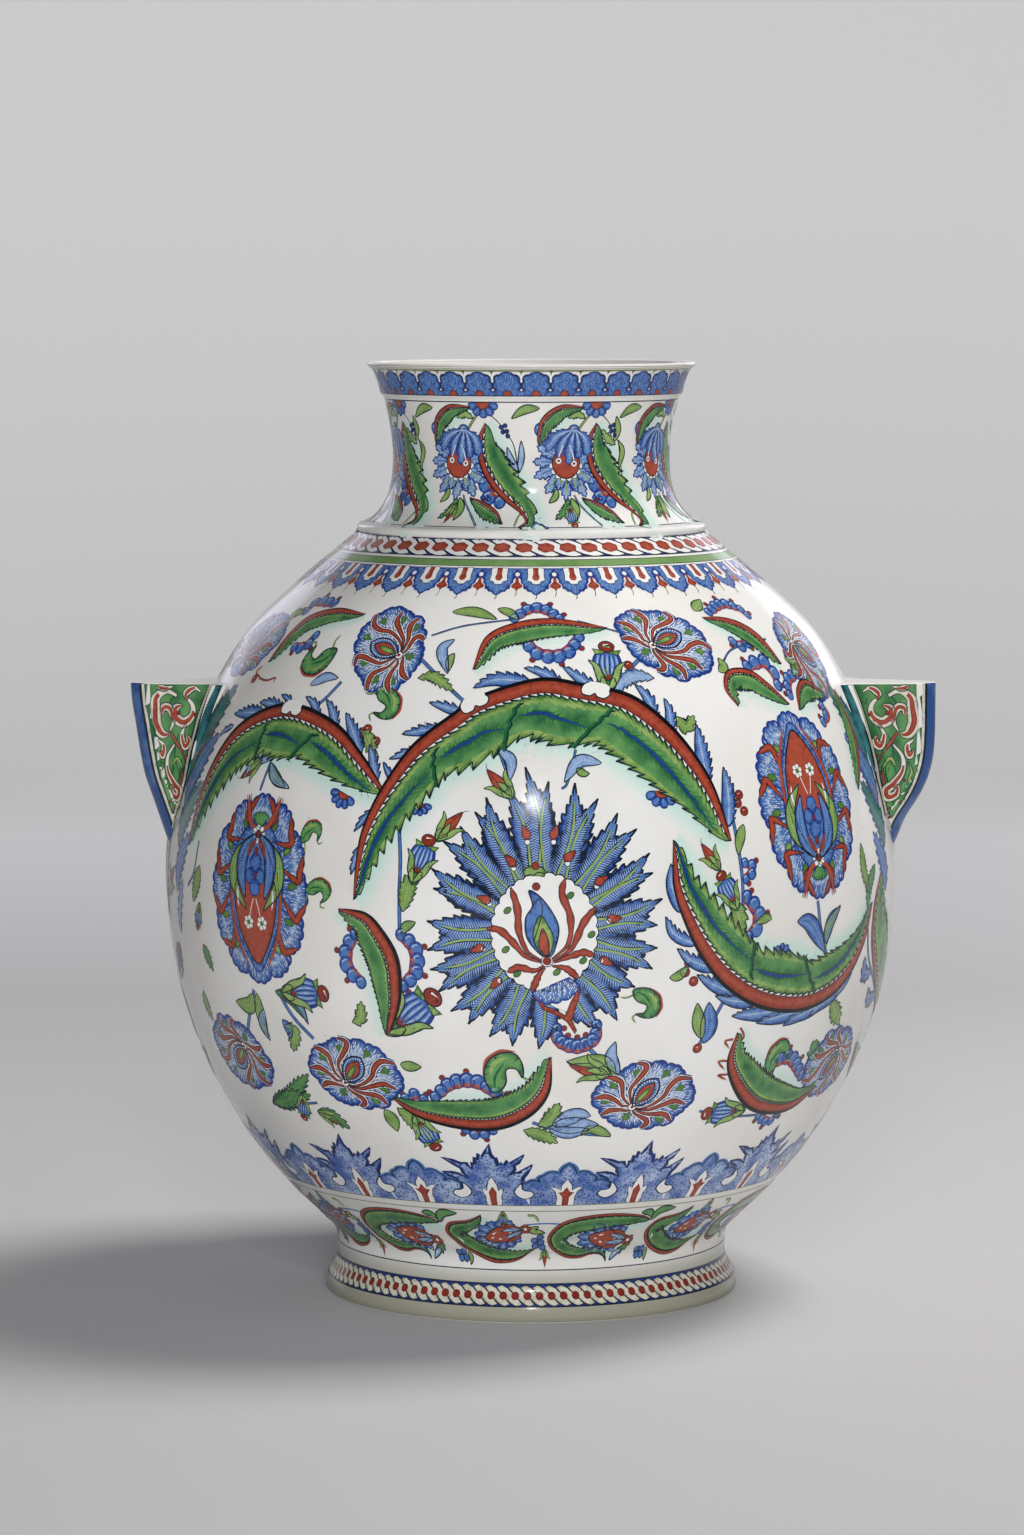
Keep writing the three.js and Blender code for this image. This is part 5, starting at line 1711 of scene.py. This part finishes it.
def hanging_lotus():
    """A red ball with two white drops in a ring of pointed blue petals, seen hanging."""
    s = Stencil(21, 2.2)
    tips = ((-12.3, 18.0), (-17.2, 9.8), (-19.7, 0.8), (-19.0, -8.4), (-12.3, -17.5), (-5.5, -15.5),
            (-0.8, -21.8), (6.0, -16.5), (11.5, -19.7), (17.2, -12.0), (18.9, -5.0), (17.2, 3.0), (14.8, 11.5))
    for k, tip in enumerate(tips):
        tip = np.array(tip)
        base = tip * 0.30
        small_leaf(s, [base, tip * 0.62 + (0.5, 0.3), tip * 1.08], 7.4, "cobalt_pale", 3.4, layer=1 + k % 2,
                   vein="green_pale" if tip[1] < -10 else "cobalt", line=0.9, edge="cobalt_deep", peak=0.4)
    for k in range(8):
        angle = math.radians(190 + 160 * k / 7)
        s.shape("white", ring(9.4 * math.cos(angle), 9.8 * math.sin(angle), 1.8, steps=10), 6, "ink", 0.4)
    s.patch("red", ring(0, 0, 9.0, 1.08, 28), 8, 0.6)
    for x, y in ((-4.9, 1.4), (5.2, -0.4)):
        s.shape("white", ring(x, y, 2.1, steps=12), 10, "ink", 0.4)
        s.fill("red", ring(x, y, 0.9, steps=8), 11)
        s.line("white", dense([(x, y + 2), (x * 0.75, 7), (x * 0.4, 11)]), 0.7, 10)
    for x, y, width in ((-13, 7, 7), (-5.5, 3.5, 6), (1.5, -1.5, 7), (8, 2.5, 6), (14.5, 4, 7)):
        small_leaf(s, [(5, 21.5), (2.2 + 0.7 * x, 12.8 + 0.5 * y), (x, y)], width, "cobalt", 3.6, layer=9,
                   vein="cobalt_pale", line=0.8, edge="cobalt_deep", peak=0.6)
    return s


def neck_repeat(alternate):
    """One eighth of the neck's painting. x is from the lotus's axis, y is the height."""
    s = Stencil(22, 2.2)
    stem(s, [(17, 573), (11, 566), (6, 559)], 1.3, "green_pale")
    stem(s, [(3, 518), (6, 512), (16, 499)], 0.8, "cobalt_pale")
    s.line("ink", dense([(17, 571), (25, 565), (31, 557), (36, 548), (39, 527)]), 0.7, 1)
    s.dots("cobalt_deep", ((28, 560.5), (30.5, 561.5), (29, 557.5), (31.5, 558), (32, 555)), 1.5, 3, 0.3, 9)
    if alternate:
        leaves(s, ("cobalt_pale", 4, 0, (39, 532), (34, 540), (31.5, 548)),
               ("cobalt_pale", 4, 0, (39, 532), (40.5, 542), (40.5, 552)))
    else:
        leaves(s, ("green_pale", 5, 3.5, (33, 549), (27, 553), (22, 559)),
               ("green_pale", 5, 0, (32, 551), (34, 559), (32, 567)),
               ("green_pale", 4, 0, (36, 534), (39, 545), (35, 552)))
    leaves(s, ("green_pale", 5.5, 0, (-19, 572.5), (-28, 571.5), (-36, 566)),
           ("green_pale", 4.5, 3, (10, 566), (5, 568.5), (-1, 566.5)),
           ("green_pale", 4, 0, (-8, 522), (-9, 517), (-13, 513)),
           ("green", 5.5, 3, (-1, 516), (-3, 509), (-10, 503)),
           ("green_pale", 5, 0, (1, 516), (3, 509), (1, 502)),
           ("green_pale", 4, 3, (35, 511), (38, 515), (36, 521)))
    caterpillar(s, [(-17, 560), (-12, 554), (-5, 554), (2, 559)], 4.2, 1, False)
    caterpillar(s, [(22, 531), (19, 524), (22, 517), (28, 515)], 4, 1, False)
    fan(s, 17, 576, 9.5, 5, 180, 360)
    fan(s, 18, 514, 4, 3, 10, 150)
    s.add(hanging_lotus(), -1.6, 538)
    s.add(bud(not alternate), -1, 512, 165 if alternate else 185, 0.55, lift=1)
    saz_leaf(s, [(9, 573.5), (-6, 574), (-17, 566), (-20, 554), (-19.5, 549)], 7.5, 2, 1, 3.6, black=0.7)
    saz_leaf(s, [(17.5, 563), (12.8, 552), (13.9, 537), (21, 524.5), (31, 514.5), (40, 507.5), (43.5, 502),
                 (40, 499)],
             15, 3.2, 1, 9, 0.42, black=0.9)
    saz_leaf(s, [(8, 516.5), (17, 513.5), (26, 508), (31, 500.5)], 6.5, 1.4, -1, 3.4, black=0.6)
    tendril(s, [(-33, 499), (-31, 505), (-27, 508), (-24, 504)], "green_pale", 1.2)
    return s


def blossom(serrated):
    """A small lotus seen from the side: pointed blue petals round a red heart, its calyx at the origin."""
    s = Stencil(23, 1.3)
    for k in range(11):
        angle = math.radians(48 + 26.4 * k)
        tip = np.array((-14.5 + 16 * math.cos(angle), 11 * math.sin(angle)))
        base = np.array((-10, 0)) + tip * 0.2
        small_leaf(s, [base, (base + tip) / 2 + (0.4, 0.4), tip], 6.4 if serrated else 5.8, "cobalt",
                   2.6 if serrated else 0, layer=1 + k % 2, edge="cobalt_deep", line=0.7, peak=0.55)
        s.streaks("cobalt_pale", [tip * 0.5 + base * 0.5], [tip * 0.85 + base * 0.15], 1.6, 5)
    heart = [(-3, 0), (-7, 4.6), (-14, 5.8), (-21, 3), (-24, 0.5), (-20, -3.6), (-13, -5.4), (-7, -4.4)]
    s.patch("red", smooth(heart), 5, 0.6)
    glints = np.array(((-18, 2, 3, 1), (-12, -2.6, 3.6, 0.4), (-11, 2.8, 3, -0.6), (-16, -2.2, 2.4, -0.8),
                       (-8, 0.4, 2.6, 0.2), (-20, -0.4, 2, 0)))
    s.streaks("white", glints[:, :2], glints[:, :2] + glints[:, 2:], 1.5, 7)
    for sign in (1, -1):
        small_leaf(s, [(0, 0), (-6, sign * 4.2), (-13, sign * 6.4)], 3.2, "red", layer=6, line=0.5)
        small_leaf(s, [(0, 0), (-6, sign * 2), (-12, sign * 2.6)], 3, "cobalt_pale", layer=7, line=0.5)
    s.dots("red", ring(1.8, 0, 2, steps=5), 1.5, 8, 0.4, 8)
    s.fill("white", ring(1.8, 0, 1, steps=8), 10)
    return s


def foot_scroll(upper):
    """A curled leaf with a blossom in it. The two kinds take turns round the band."""
    s = Stencil(24, 1.3)
    if upper:
        curl = [(61, 29.5), (53, 33), (36, 35.3), (18.6, 34), (7.4, 29.9), (1.2, 22), (1.2, 15.5), (5, 10),
                (13, 5.6), (23, 4.8), (32, 6.6), (39, 5.4), (42, 2.5)]
        s.add(blossom(False), 51, 15.5, -8, 1.08)
        s.add(bud(False), -1, 11, 185, 0.45, lift=1)
        leaves(s, ("cobalt", 3, 0, (48, 15), (54, 14.5), (50, 19)),
               ("green", 4.5, 3, (56, 15), (52, 9), (46, 5)), ("green", 5, 0, (61, 29), (64, 35), (73, 36)))
        leaves(s, ("cobalt_pale", 3.4, 0, (52, 9), (48, 6), (45, 3)), layer=4)
        s.dots("cobalt", ((-4, 20), (-7.5, 17.5), (-3.5, 16), (-7, 13.5), (-2.5, 12.5)), 2.1, 3, 0.5)
    else:
        curl = [(24.5, 35.5), (16.6, 31.5), (5.8, 29.4), (1.2, 24.4), (1.2, 19.5), (5.8, 12.8), (14, 7),
                (24.8, 3.3), (35.6, 2.9), (45.5, 5), (54, 10.5)]
        s.add(blossom(True), 47, 25.5, 18)
        s.add(bud(True), 37, 38, 175, 0.4, lift=1)
        s.line("cobalt", dense([(43, 26), (50, 29), (60, 30), (68, 29.5)]), 1, 1)
        leaves(s, ("cobalt_pale", 3.4, 0, (21, 20), (26, 15), (32, 13)),
               ("green_pale", 4.5, 0, (56, 28), (53, 25), (60, 23)),
               ("green_pale", 2.8, 0, (10, 8), (11, 4), (10.5, 1.5)),
               ("green", 4, 0, (-9, 35), (-4, 34.5), (-1, 31)))
        leaves(s, ("cobalt_pale", 3, 0, (19, 15), (24, 15.5), (28, 12)), layer=3)
        tendril(s, [(12, 19), (17, 18.5), (22, 19)], "green_pale", 1.4)
        tendril(s, [(50, 35.5), (54, 35), (56, 31)], "green_pale", 1.6)
        s.dots("cobalt", ((3, 7.5), (6.5, 8), (4, 4.5), (7.5, 4.5)), 2, 3, 0.5)
        s.fill("cobalt_pale", ring(14, 26, 1.9, steps=10), 1)
    saz_leaf(s, curl, 9.6, 1.5, 1, 4, 0.42, black=0.4, white_teeth=0)
    return s


class VASE_OT_bands(bpy.types.Operator):
    """Paint the neck's hanging flowers and the scroll band over the foot"""
    bl_idname = "vase.bands"
    bl_label = "Neck and scroll painting"

    def execute(self, context):
        skin = Skin(context.scene.vase_sizes)
        neck = Paintwork("neck_field")
        kinds = (neck_repeat(False), neck_repeat(True))
        for k in range(8):
            neck.lay(kinds[k % 2], Belt(skin, 15 + 45 * k, 540, radius=90 * MM))
        for azimuth in (3.0, 183.0):
            s = Stencil()
            fan(s, 0, 497.9, 5.5, 3, 0, 180, "cobalt_deep")
            neck.lay(s, Belt(skin, azimuth, 498, radius=100 * MM))
        neck.build()
        scrolls = Paintwork("scroll_border")
        kinds = (foot_scroll(True), foot_scroll(False))
        low, high, radius, count = 33, 76, 140 * MM, 14
        width, height = 61.5, 38
        tall = skin.climb_of(high) - skin.climb_of(low)
        scale = (2 * math.pi * radius / MM / count / width, tall / MM / height)
        for k in range(count):
            scrolls.lay(kinds[k % 2], Chart(skin, 3.8 + 360 / count * k, low, scale=scale, radius=radius))
        scrolls.build()
        return {"FINISHED"}


# Handles.

# Outer edges in elevation: millimetres from the axis and over the foot. The left wing is the slimmer one.
WING_EDGES = {
    1: ((232.6, 286), (235.4, 292), (238.5, 299), (242, 308), (246, 315), (250.5, 322), (254.8, 330),
        (258.2, 339), (260.6, 350), (261.6, 364), (261.8, 383), (261.8, 399)),
    -1: ((232.6, 286), (235, 292), (238, 300), (242, 312), (247.5, 328), (250.8, 338), (253.6, 352),
         (256.2, 369), (258.6, 384), (259.8, 399)),
}
# The panel's inner line: height over the foot and distance from the body.
PANEL_ROOT = ((290, -1.2), (336, -0.6), (352, 1.2), (364, 2.4), (383, 4.8), (399, 6.4))
TOP_TRIM = 2.2 * MM


class WingShape:
    """A tapered wing handle, read by the distance from the axis and the height."""

    def __init__(self, size, hand):
        self.hand = hand
        self.forward = size.wing_forward
        self.inset = size.glaze_inset
        self.top = size.belly_height + size.wing_top_rise + TOP_TRIM
        self.reach = size.belly_radius + size.wing_projection
        self.root_thickness, self.edge = size.wing_root, size.wing_edge
        self.profile = np.concatenate([lower_outside(size), upper_outside(size)[1:]])
        self.root = float(self.body(self.top))
        self.outline = dense(WING_EDGES[hand], 1.0) * MM
        self.low = float(self.outline[0][1])

    def body(self, height):
        return np.interp(height, self.profile[:, 1], self.profile[:, 0])

    def nose(self, height):
        """Farthest reach of the round outer edge."""
        return np.interp(height, self.outline[:, 1], self.outline[:, 0]) - self.inset

    def taper(self, radius):
        share = (radius - self.root) / (self.reach - self.root)
        return (self.root_thickness + (self.edge - self.root_thickness) * share) / 2 - self.inset

    def half(self, radius, height, shrink=0.0):
        """Half the thickness: flat flanks that flare into the body, and a round outer edge."""
        flare = np.clip(1 - np.maximum(radius - self.body(height), 0.0) / (10 * MM), 0.0, 1.0)
        flank = self.taper(radius) + 6 * MM * flare ** 2 - shrink
        nose = self.nose(height)
        bend = self.taper(nose)
        past = np.maximum(radius - (nose - bend), 0.0)
        return np.where(past > 0, np.minimum(flank, np.sqrt(np.maximum((bend - shrink) ** 2 - past ** 2,
                                                                       0.0))), flank)

    def section(self, height, shrink):
        nose = float(self.nose(height)) - shrink
        start = min(float(self.body(height)) - 5 * MM, nose - 1 * MM)
        radius = nose - (nose - start) * np.linspace(1.0, 0.0, 30) ** 2
        half = self.half(radius, height, shrink)
        half[-1] = 0.0
        across = np.concatenate([-half, half[-2::-1]])
        radius = np.concatenate([radius, radius[-2::-1]])
        return self.place(radius, across, np.full(len(radius), height))

    def place(self, radius, across, height):
        """Metres in the vase's frame. Across is from the wing's middle plane, negative in front."""
        c, s = math.cos(self.forward), math.sin(self.forward)
        return np.stack([(radius * c + across * s) * self.hand, across * c - radius * s, height], axis=1)

    def inner_line(self, height):
        """The painted panel's line along the body, in millimetres for a height in millimetres."""
        return self.body(height * MM) / MM + np.interp(height, *np.array(PANEL_ROOT).T)


class WingSide:
    """One flat side of a wing as a chart: x is the distance from the axis, y the height."""

    def __init__(self, wing, front):
        self.wing = wing
        self.front = front

    def place(self, points, lift):
        radius, height = points[:, 0] * MM, points[:, 1] * MM
        half = self.wing.half(radius, height) + lift
        return self.wing.place(radius, -half if self.front else half, height)

    def surface(self, points, lift):
        at = self.place(points, lift)
        out = self.place(points, lift + 1 * MM) - at
        ahead = self.place(points + (0.5, 0.0), lift) - at
        above = self.place(points + (0.0, 0.5), lift) - at
        normal = np.cross(ahead, above)
        normal *= np.sign(np.einsum("ij,ij->i", normal, out))[:, None]
        normal /= np.linalg.norm(normal, axis=1)[:, None]
        return at, normal


def wing_solid(wing, name):
    """Bridges the wing's sections into one smooth closed solid, pale inside its blue edge."""
    rounding = 1.6 * MM
    levels = [(h, 0.0) for h in np.linspace(wing.low, wing.top - rounding, 60)]
    for k in range(1, 5):
        angle = math.pi / 2 * k / 4
        levels.append((wing.top - rounding * (1 - math.sin(angle)), rounding * (1 - math.cos(angle))))
    bm = bmesh.new()
    loops = []
    for height, shrink in levels:
        rim = [bm.verts.new(p) for p in wing.section(height, shrink)]
        loops.append([bm.edges.new((a, b)) for a, b in zip(rim, rim[1:] + rim[:1])])
    for below, above in zip(loops, loops[1:]):
        bmesh.ops.bridge_loops(bm, edges=below + above)
    bmesh.ops.contextual_create(bm, geom=loops[0])
    bmesh.ops.contextual_create(bm, geom=loops[-1])
    bmesh.ops.recalc_face_normals(bm, faces=bm.faces)
    c, s = math.cos(wing.forward), math.sin(wing.forward)
    for face in bm.faces:
        face.smooth = len(face.verts) < 5
        middle = face.calc_center_median()
        along = middle.x * wing.hand * c - middle.y * s
        painted_edge = along > wing.nose(middle.z) - 7 * MM
        face.material_index = 0 if painted_edge and face.normal.z < 0.6 else 1
    return modelled(name, bm)


def wing_panel(wing):
    """The flat side of a wing: black and white lines inside the blue edge, and a green panel."""
    s = Stencil(8)
    heights = np.linspace(wing.low / MM + 6, wing.top / MM - 0.9, 80)
    nose = wing.nose(heights * MM) / MM
    root = wing.inner_line(heights)

    def strip(paint, outer, inner, layer, columns=2, tone=None, from_root=(False, False)):
        a = root + outer if from_root[0] else nose - outer
        b = root + inner if from_root[1] else nose - inner
        keep = (a > b + 0.2) & (nose - 5.5 > root)
        edges = [np.stack([x[keep], heights[keep]], axis=1) for x in (a, b)]
        s.band(paint, *edges, layer, columns, tone)
        return edges

    strip("ink", 4.7, 6.0, 2)
    strip("cream", 6.0, 7.2, 2)
    outer, inner = strip("green", 8.0, 1.7, 1, 12, (0.2, 1.0, 0.4, 0.9, 0.2), (False, True))
    s.line("ink", outer, 0.7, 3)
    s.line("ink", inner, 0.7, 3)
    for paint, outer, inner, layer, columns, tone in (
            ("cream", 1.2, 0.2, 3, 1, None), ("ink", 0.2, -0.7, 2, 1, None),
            ("teal", -0.7, -5.4, 1, 3, (0.4, 1.0, 0.2)), ("green_deep", -5.4, -6.0, 1, 1, None)):
        strip(paint, outer, inner, layer, columns, tone, (True, True))
    return s


def scroll_work(wing, model):
    """Split-leaf scrolls with red hearts, drawn for the model wing's panel and fitted to this wing's."""
    s = Stencil(9)

    def comma(points, width, paint="cream", heart=True, layer=5):
        width *= 1.3 if heart else 1.0
        axis = dense(points, 0.6)
        t = np.linspace(0.0, 1.0, len(axis))
        half = (0.5 * width * (0.25 + 0.75 * swell(np.clip(t * 1.02, 0, 1), 0.68, 0.8)))[:, None]
        side = left_of(axis)
        s.band(paint, axis + side * half, axis - side * half, layer, 4)
        s.line("ink", np.concatenate([axis + side * half, (axis - side * half)[::-1]]), 0.55, layer + 1,
               closed=True)
        if heart:
            core = slice(int(len(axis) * 0.3), None)
            inner, bend = axis[core], half[core] * 0.42
            s.band("red", inner + left_of(inner) * bend, inner - left_of(inner) * bend, layer + 2, 2)

    for width, points in (
            (6.0, ((227, 389), (221, 383), (221.5, 376), (228, 372), (234, 375), (234, 381), (229, 383))),
            (7.5, ((233, 389), (241, 392), (248.5, 388), (250, 381), (251, 372), (247, 365), (241, 364))),
            (4.5, ((240, 366), (236.5, 373), (239, 381), (244, 381), (244.5, 376))),
            (5.0, ((236, 358), (242.5, 350), (242.5, 341), (236.5, 333), (231.5, 329), (233, 324.5),
                   (238, 326), (239, 330.5), (235.5, 331.5))),
            (4.5, ((226, 371), (229.5, 364), (227, 357), (223.5, 360), (225.5, 364))),
            (4.5, ((250.5, 361), (246, 357), (247.5, 351), (250.5, 354))),
            (4.0, ((215, 391.5), (220, 394), (226, 390.5), (225, 386.5))),
            (3.4, ((236, 395), (242, 393.6), (248, 395)))):
        comma(points, width)
    for paint, width, points in (
            ("red", 2.4, ((225.5, 346), (229, 353), (235, 360), (240, 367))),
            ("red", 1.8, ((233, 322), (231, 327), (229.5, 336), (228, 344))),
            ("green_pale", 2.6, ((227, 339), (230, 345), (234, 349), (238, 344))),
            ("green_pale", 2.4, ((247, 347), (249, 340), (246, 333)))):
        comma(points, width, paint, False, 4)
    for x, y, r in ((234, 317, 1.1), (233.5, 311, 0.9), (232, 378, 1.5), (219, 377, 1.2), (244, 335, 1.0),
                    (240, 321, 1.1), (225, 351, 1.0), (251, 376, 0.9), (236, 305, 0.8), (214, 386, 1.0)):
        s.shape("red", ring(x, y, r, steps=10), 6, "ink", 0.35)
    for points in (((218, 388), (217, 378), (222, 366)), ((231, 391), (238, 385), (236, 377)),
                   ((232, 366), (236, 352), (232, 340)), ((245, 360), (246, 345), (241, 330)),
                   ((229, 350), (232, 335), (237, 318)), ((236, 346), (238, 338), (233, 334))):
        s.line("green_deep", dense(points, 0.8), 1.5, 3, peak=0.5)
    for _, points, *_ in s.shapes:
        room, own = (w.nose(points[:, 1] * MM) / MM - 8 - w.inner_line(points[:, 1]) for w in (model, wing))
        share = (points[:, 0] - model.inner_line(points[:, 1])) / np.maximum(room, 0.5)
        points[:, 0] = wing.inner_line(points[:, 1]) + np.clip(0.05 + 0.88 * share, 0.05, 0.95) * own
    return s


# Blue-green feathers on the body beside a handle: degrees from the wing's middle, millimetres over the foot.
ROOT_FEATHERS = (
    ("teal", 24, ((7.5, 348), (9.0, 370), (14.0, 398))), ("cobalt", 22, ((8.0, 320), (9.6, 343), (15.0, 368))),
    ("teal", 20, ((8.2, 294), (9.6, 314), (14.5, 338))), ("cobalt", 16, ((8.4, 266), (9.6, 284), (13.5, 306))),
    ("cobalt_pale", 9, ((8.8, 240), (9.4, 256), (11.6, 276))),
)


class VASE_OT_handles(bpy.types.Operator):
    """Model the two wing handles and paint their blue edges, scroll panels and root feathers"""
    bl_idname = "vase.handles"
    bl_label = "Wing handles"

    def execute(self, context):
        size = context.scene.vase_sizes
        skin = Skin(size)
        model = WingShape(size, 1)
        feathers = Paintwork("root_feathers")
        for name, hand in (("right_handle", 1), ("left_handle", -1)):
            wing = WingShape(size, hand)
            piece = wing_solid(wing, f"{name}_glazed")
            for finish in ("wing_blue", "ground"):
                piece.data.materials.append(material(finish))
            settle(piece, name)
            paint = Paintwork(f"handle_{name.split('_')[0]}")
            for front in (True, False):
                side = WingSide(wing, front)
                paint.lay(wing_panel(wing), side)
                paint.lay(scroll_work(wing, model), side)
            paint.build()
            middle = 90 - math.degrees(size.wing_forward)
            for way in (-1, 1):
                for tint, width, places in ROOT_FEATHERS:
                    place, points = traced(skin, [(hand * (middle + way * d), h) for d, h in places])
                    s = Stencil()
                    small_leaf(s, points, width, tint, 7.0, edge="cobalt_deep", line=0.6)
                    feathers.lay(s, Chart(skin, *place))
        feathers.build()
        return {"FINISHED"}


# Stage.

def area_light(name, place, target, size, watts, colour="#FFFFFF"):
    lamp = bpy.data.lights.new(name, "AREA")
    lamp.shape = "SQUARE"
    lamp.size = size
    lamp.energy = watts
    lamp.color = linear(colour)[:3]
    light = linked(name, lamp)
    light.location = place
    light.rotation_euler = (Vector(target) - Vector(place)).to_track_quat("-Z", "Y").to_euler()
    return light


def grey_paper():
    """Matt grey paper. Far from the vase it glows for camera, glossy and transmission rays: a painted glow
    that brightens the far paper and shows in the glaze as a painted reflection.
    """
    made, tree = fresh("matt_grey_paper_with_painted_glow")
    place = add_node(tree, "ShaderNodeTexCoord")
    split = add_node(tree, "ShaderNodeSeparateXYZ", {"Vector": place.outputs["Object"]})
    reach = add_node(tree, "ShaderNodeMapRange", {"Value": split.outputs["Y"]})
    for name, value in (("From Min", -0.8), ("From Max", 5.0), ("To Min", 0.0), ("To Max", 1.0)):
        reach.inputs[name].default_value = value
    glow = ramp(tree, reach.outputs[0], [(0.0, (0, 0, 0, 1)), (0.38, (0.06, 0.06, 0.06, 1)),
                 (0.62, (0.3, 0.3, 0.3, 1)), (1.0, (0.45, 0.45, 0.45, 1))])
    # Painted glow: the paper gives off light where a camera ray sees it or the glaze reflects it.
    path = add_node(tree, "ShaderNodeLightPath")
    seen = path.outputs["Is Camera Ray"]
    for ray in ("Is Glossy Ray", "Is Transmission Ray"):
        seen = add_node(tree, "ShaderNodeMath", {0: seen, 1: path.outputs[ray]},
                        operation="MAXIMUM").outputs[0]
    shader = add_node(tree, "ShaderNodeBsdfPrincipled", {"Emission Color": glow.outputs["Color"],
                      "Emission Strength": seen}, in_Roughness=0.9)
    shader.inputs["Base Color"].default_value = linear("#CFCFD0")
    shader.inputs["Specular IOR Level"].default_value = 0.1
    add_node(tree, "ShaderNodeOutputMaterial", {"Surface": shader.outputs[0]})
    return made


class VASE_OT_stage(bpy.types.Operator):
    """Set the pale floor and backdrop, the soft lights and the camera"""
    bl_idname = "vase.stage"
    bl_label = "Stage, lights and camera"

    def execute(self, context):
        bm = bmesh.new()
        bmesh.ops.create_grid(bm, x_segments=1, y_segments=1, size=6.0)
        far = [edge for edge in bm.edges if all(v.co.y > 5.9 for v in edge.verts)]
        raised = bmesh.ops.extrude_edge_only(bm, edges=far)
        up = [v for v in raised["geom"] if isinstance(v, bmesh.types.BMVert)]
        bmesh.ops.translate(bm, verts=up, vec=(0.0, 0.0, 6.0))
        corner = [edge for edge in bm.edges if len(edge.link_faces) == 2]
        bmesh.ops.bevel(bm, geom=corner, offset=3.0, offset_type="OFFSET", affect="EDGES", segments=24,
                        profile=0.5, material=-1)
        for face in bm.faces:
            face.smooth = True
        floor = modelled("backdrop", bm)
        floor.data.materials.append(grey_paper())

        world = bpy.data.worlds.new("soft_studio")
        world.use_nodes = True
        world.node_tree.nodes["Background"].inputs[0].default_value = linear("#ECEEF4")
        world.node_tree.nodes["Background"].inputs[1].default_value = 0.115
        context.scene.world = world

        # The big soft lights shape the clay, and the rim lights give the pale sheen along both outlines.
        # Only the small front one shows in the glaze's middle, as in the picture.
        key = area_light("key", (1.15, 0.35, 2.5), (0.0, 0.0, 0.1), 1.0, 49.0, "#FFFCF7")
        fill = area_light("fill", (0.1, -3.8, 0.8), (0.0, 0.0, 0.3), 1.1, 82.0)
        for soft in (key, fill):
            soft.visible_glossy = False
        area_light("front", (0.02, -3.1, 1.78), (0.0, 0.0, 0.3), 0.14, 8.0)
        for side in (-1, 1):
            area_light("rim", (side * 1.35, 2.6, 1.2), (0.0, 0.0, 0.4), 1.1, 5.0, "#E6E4FA")

        camera = linked("camera", bpy.data.cameras.new("camera"))
        picture_height = 1535
        focal_pixels = 5376
        film = 36.0
        camera.data.sensor_width = film
        camera.data.lens = film * focal_pixels / picture_height
        camera.data.clip_end = 50.0
        camera.location = (-0.0124, -3.4612, 0.6623)
        camera.rotation_euler = (math.radians(90 - 5.3505), 0.0, 0.0)
        context.scene.camera = camera
        context.scene.view_settings.view_transform = "Standard"
        return {"FINISHED"}


class VASE_PT_panel(bpy.types.Panel):
    """Lists the steps that build the vase"""
    bl_idname = "VASE_PT_panel"
    bl_label = "Vase"
    bl_space_type = "VIEW_3D"
    bl_region_type = "UI"
    bl_category = "Vase"

    def draw(self, context):
        column = self.layout.column()
        for step in STEPS:
            column.operator(step.bl_idname, text=step.bl_label)


STEPS = (VASE_OT_sections, VASE_OT_handles, VASE_OT_borders, VASE_OT_field, VASE_OT_bands,
         VASE_OT_stage)
CLASSES = (VaseSizes, VaseColours, *STEPS, VASE_PT_panel)


def register():
    for cls in CLASSES:
        bpy.utils.register_class(cls)
    bpy.types.Scene.vase_sizes = PointerProperty(type=VaseSizes)
    bpy.types.Scene.vase_colours = PointerProperty(type=VaseColours)


def unregister():
    del bpy.types.Scene.vase_colours
    del bpy.types.Scene.vase_sizes
    for cls in reversed(CLASSES):
        bpy.utils.unregister_class(cls)


def main():
    register()
    for step in STEPS:
        group, name = step.bl_idname.split(".")
        getattr(getattr(bpy.ops, group), name)()


if __name__ == "__main__":
    main()
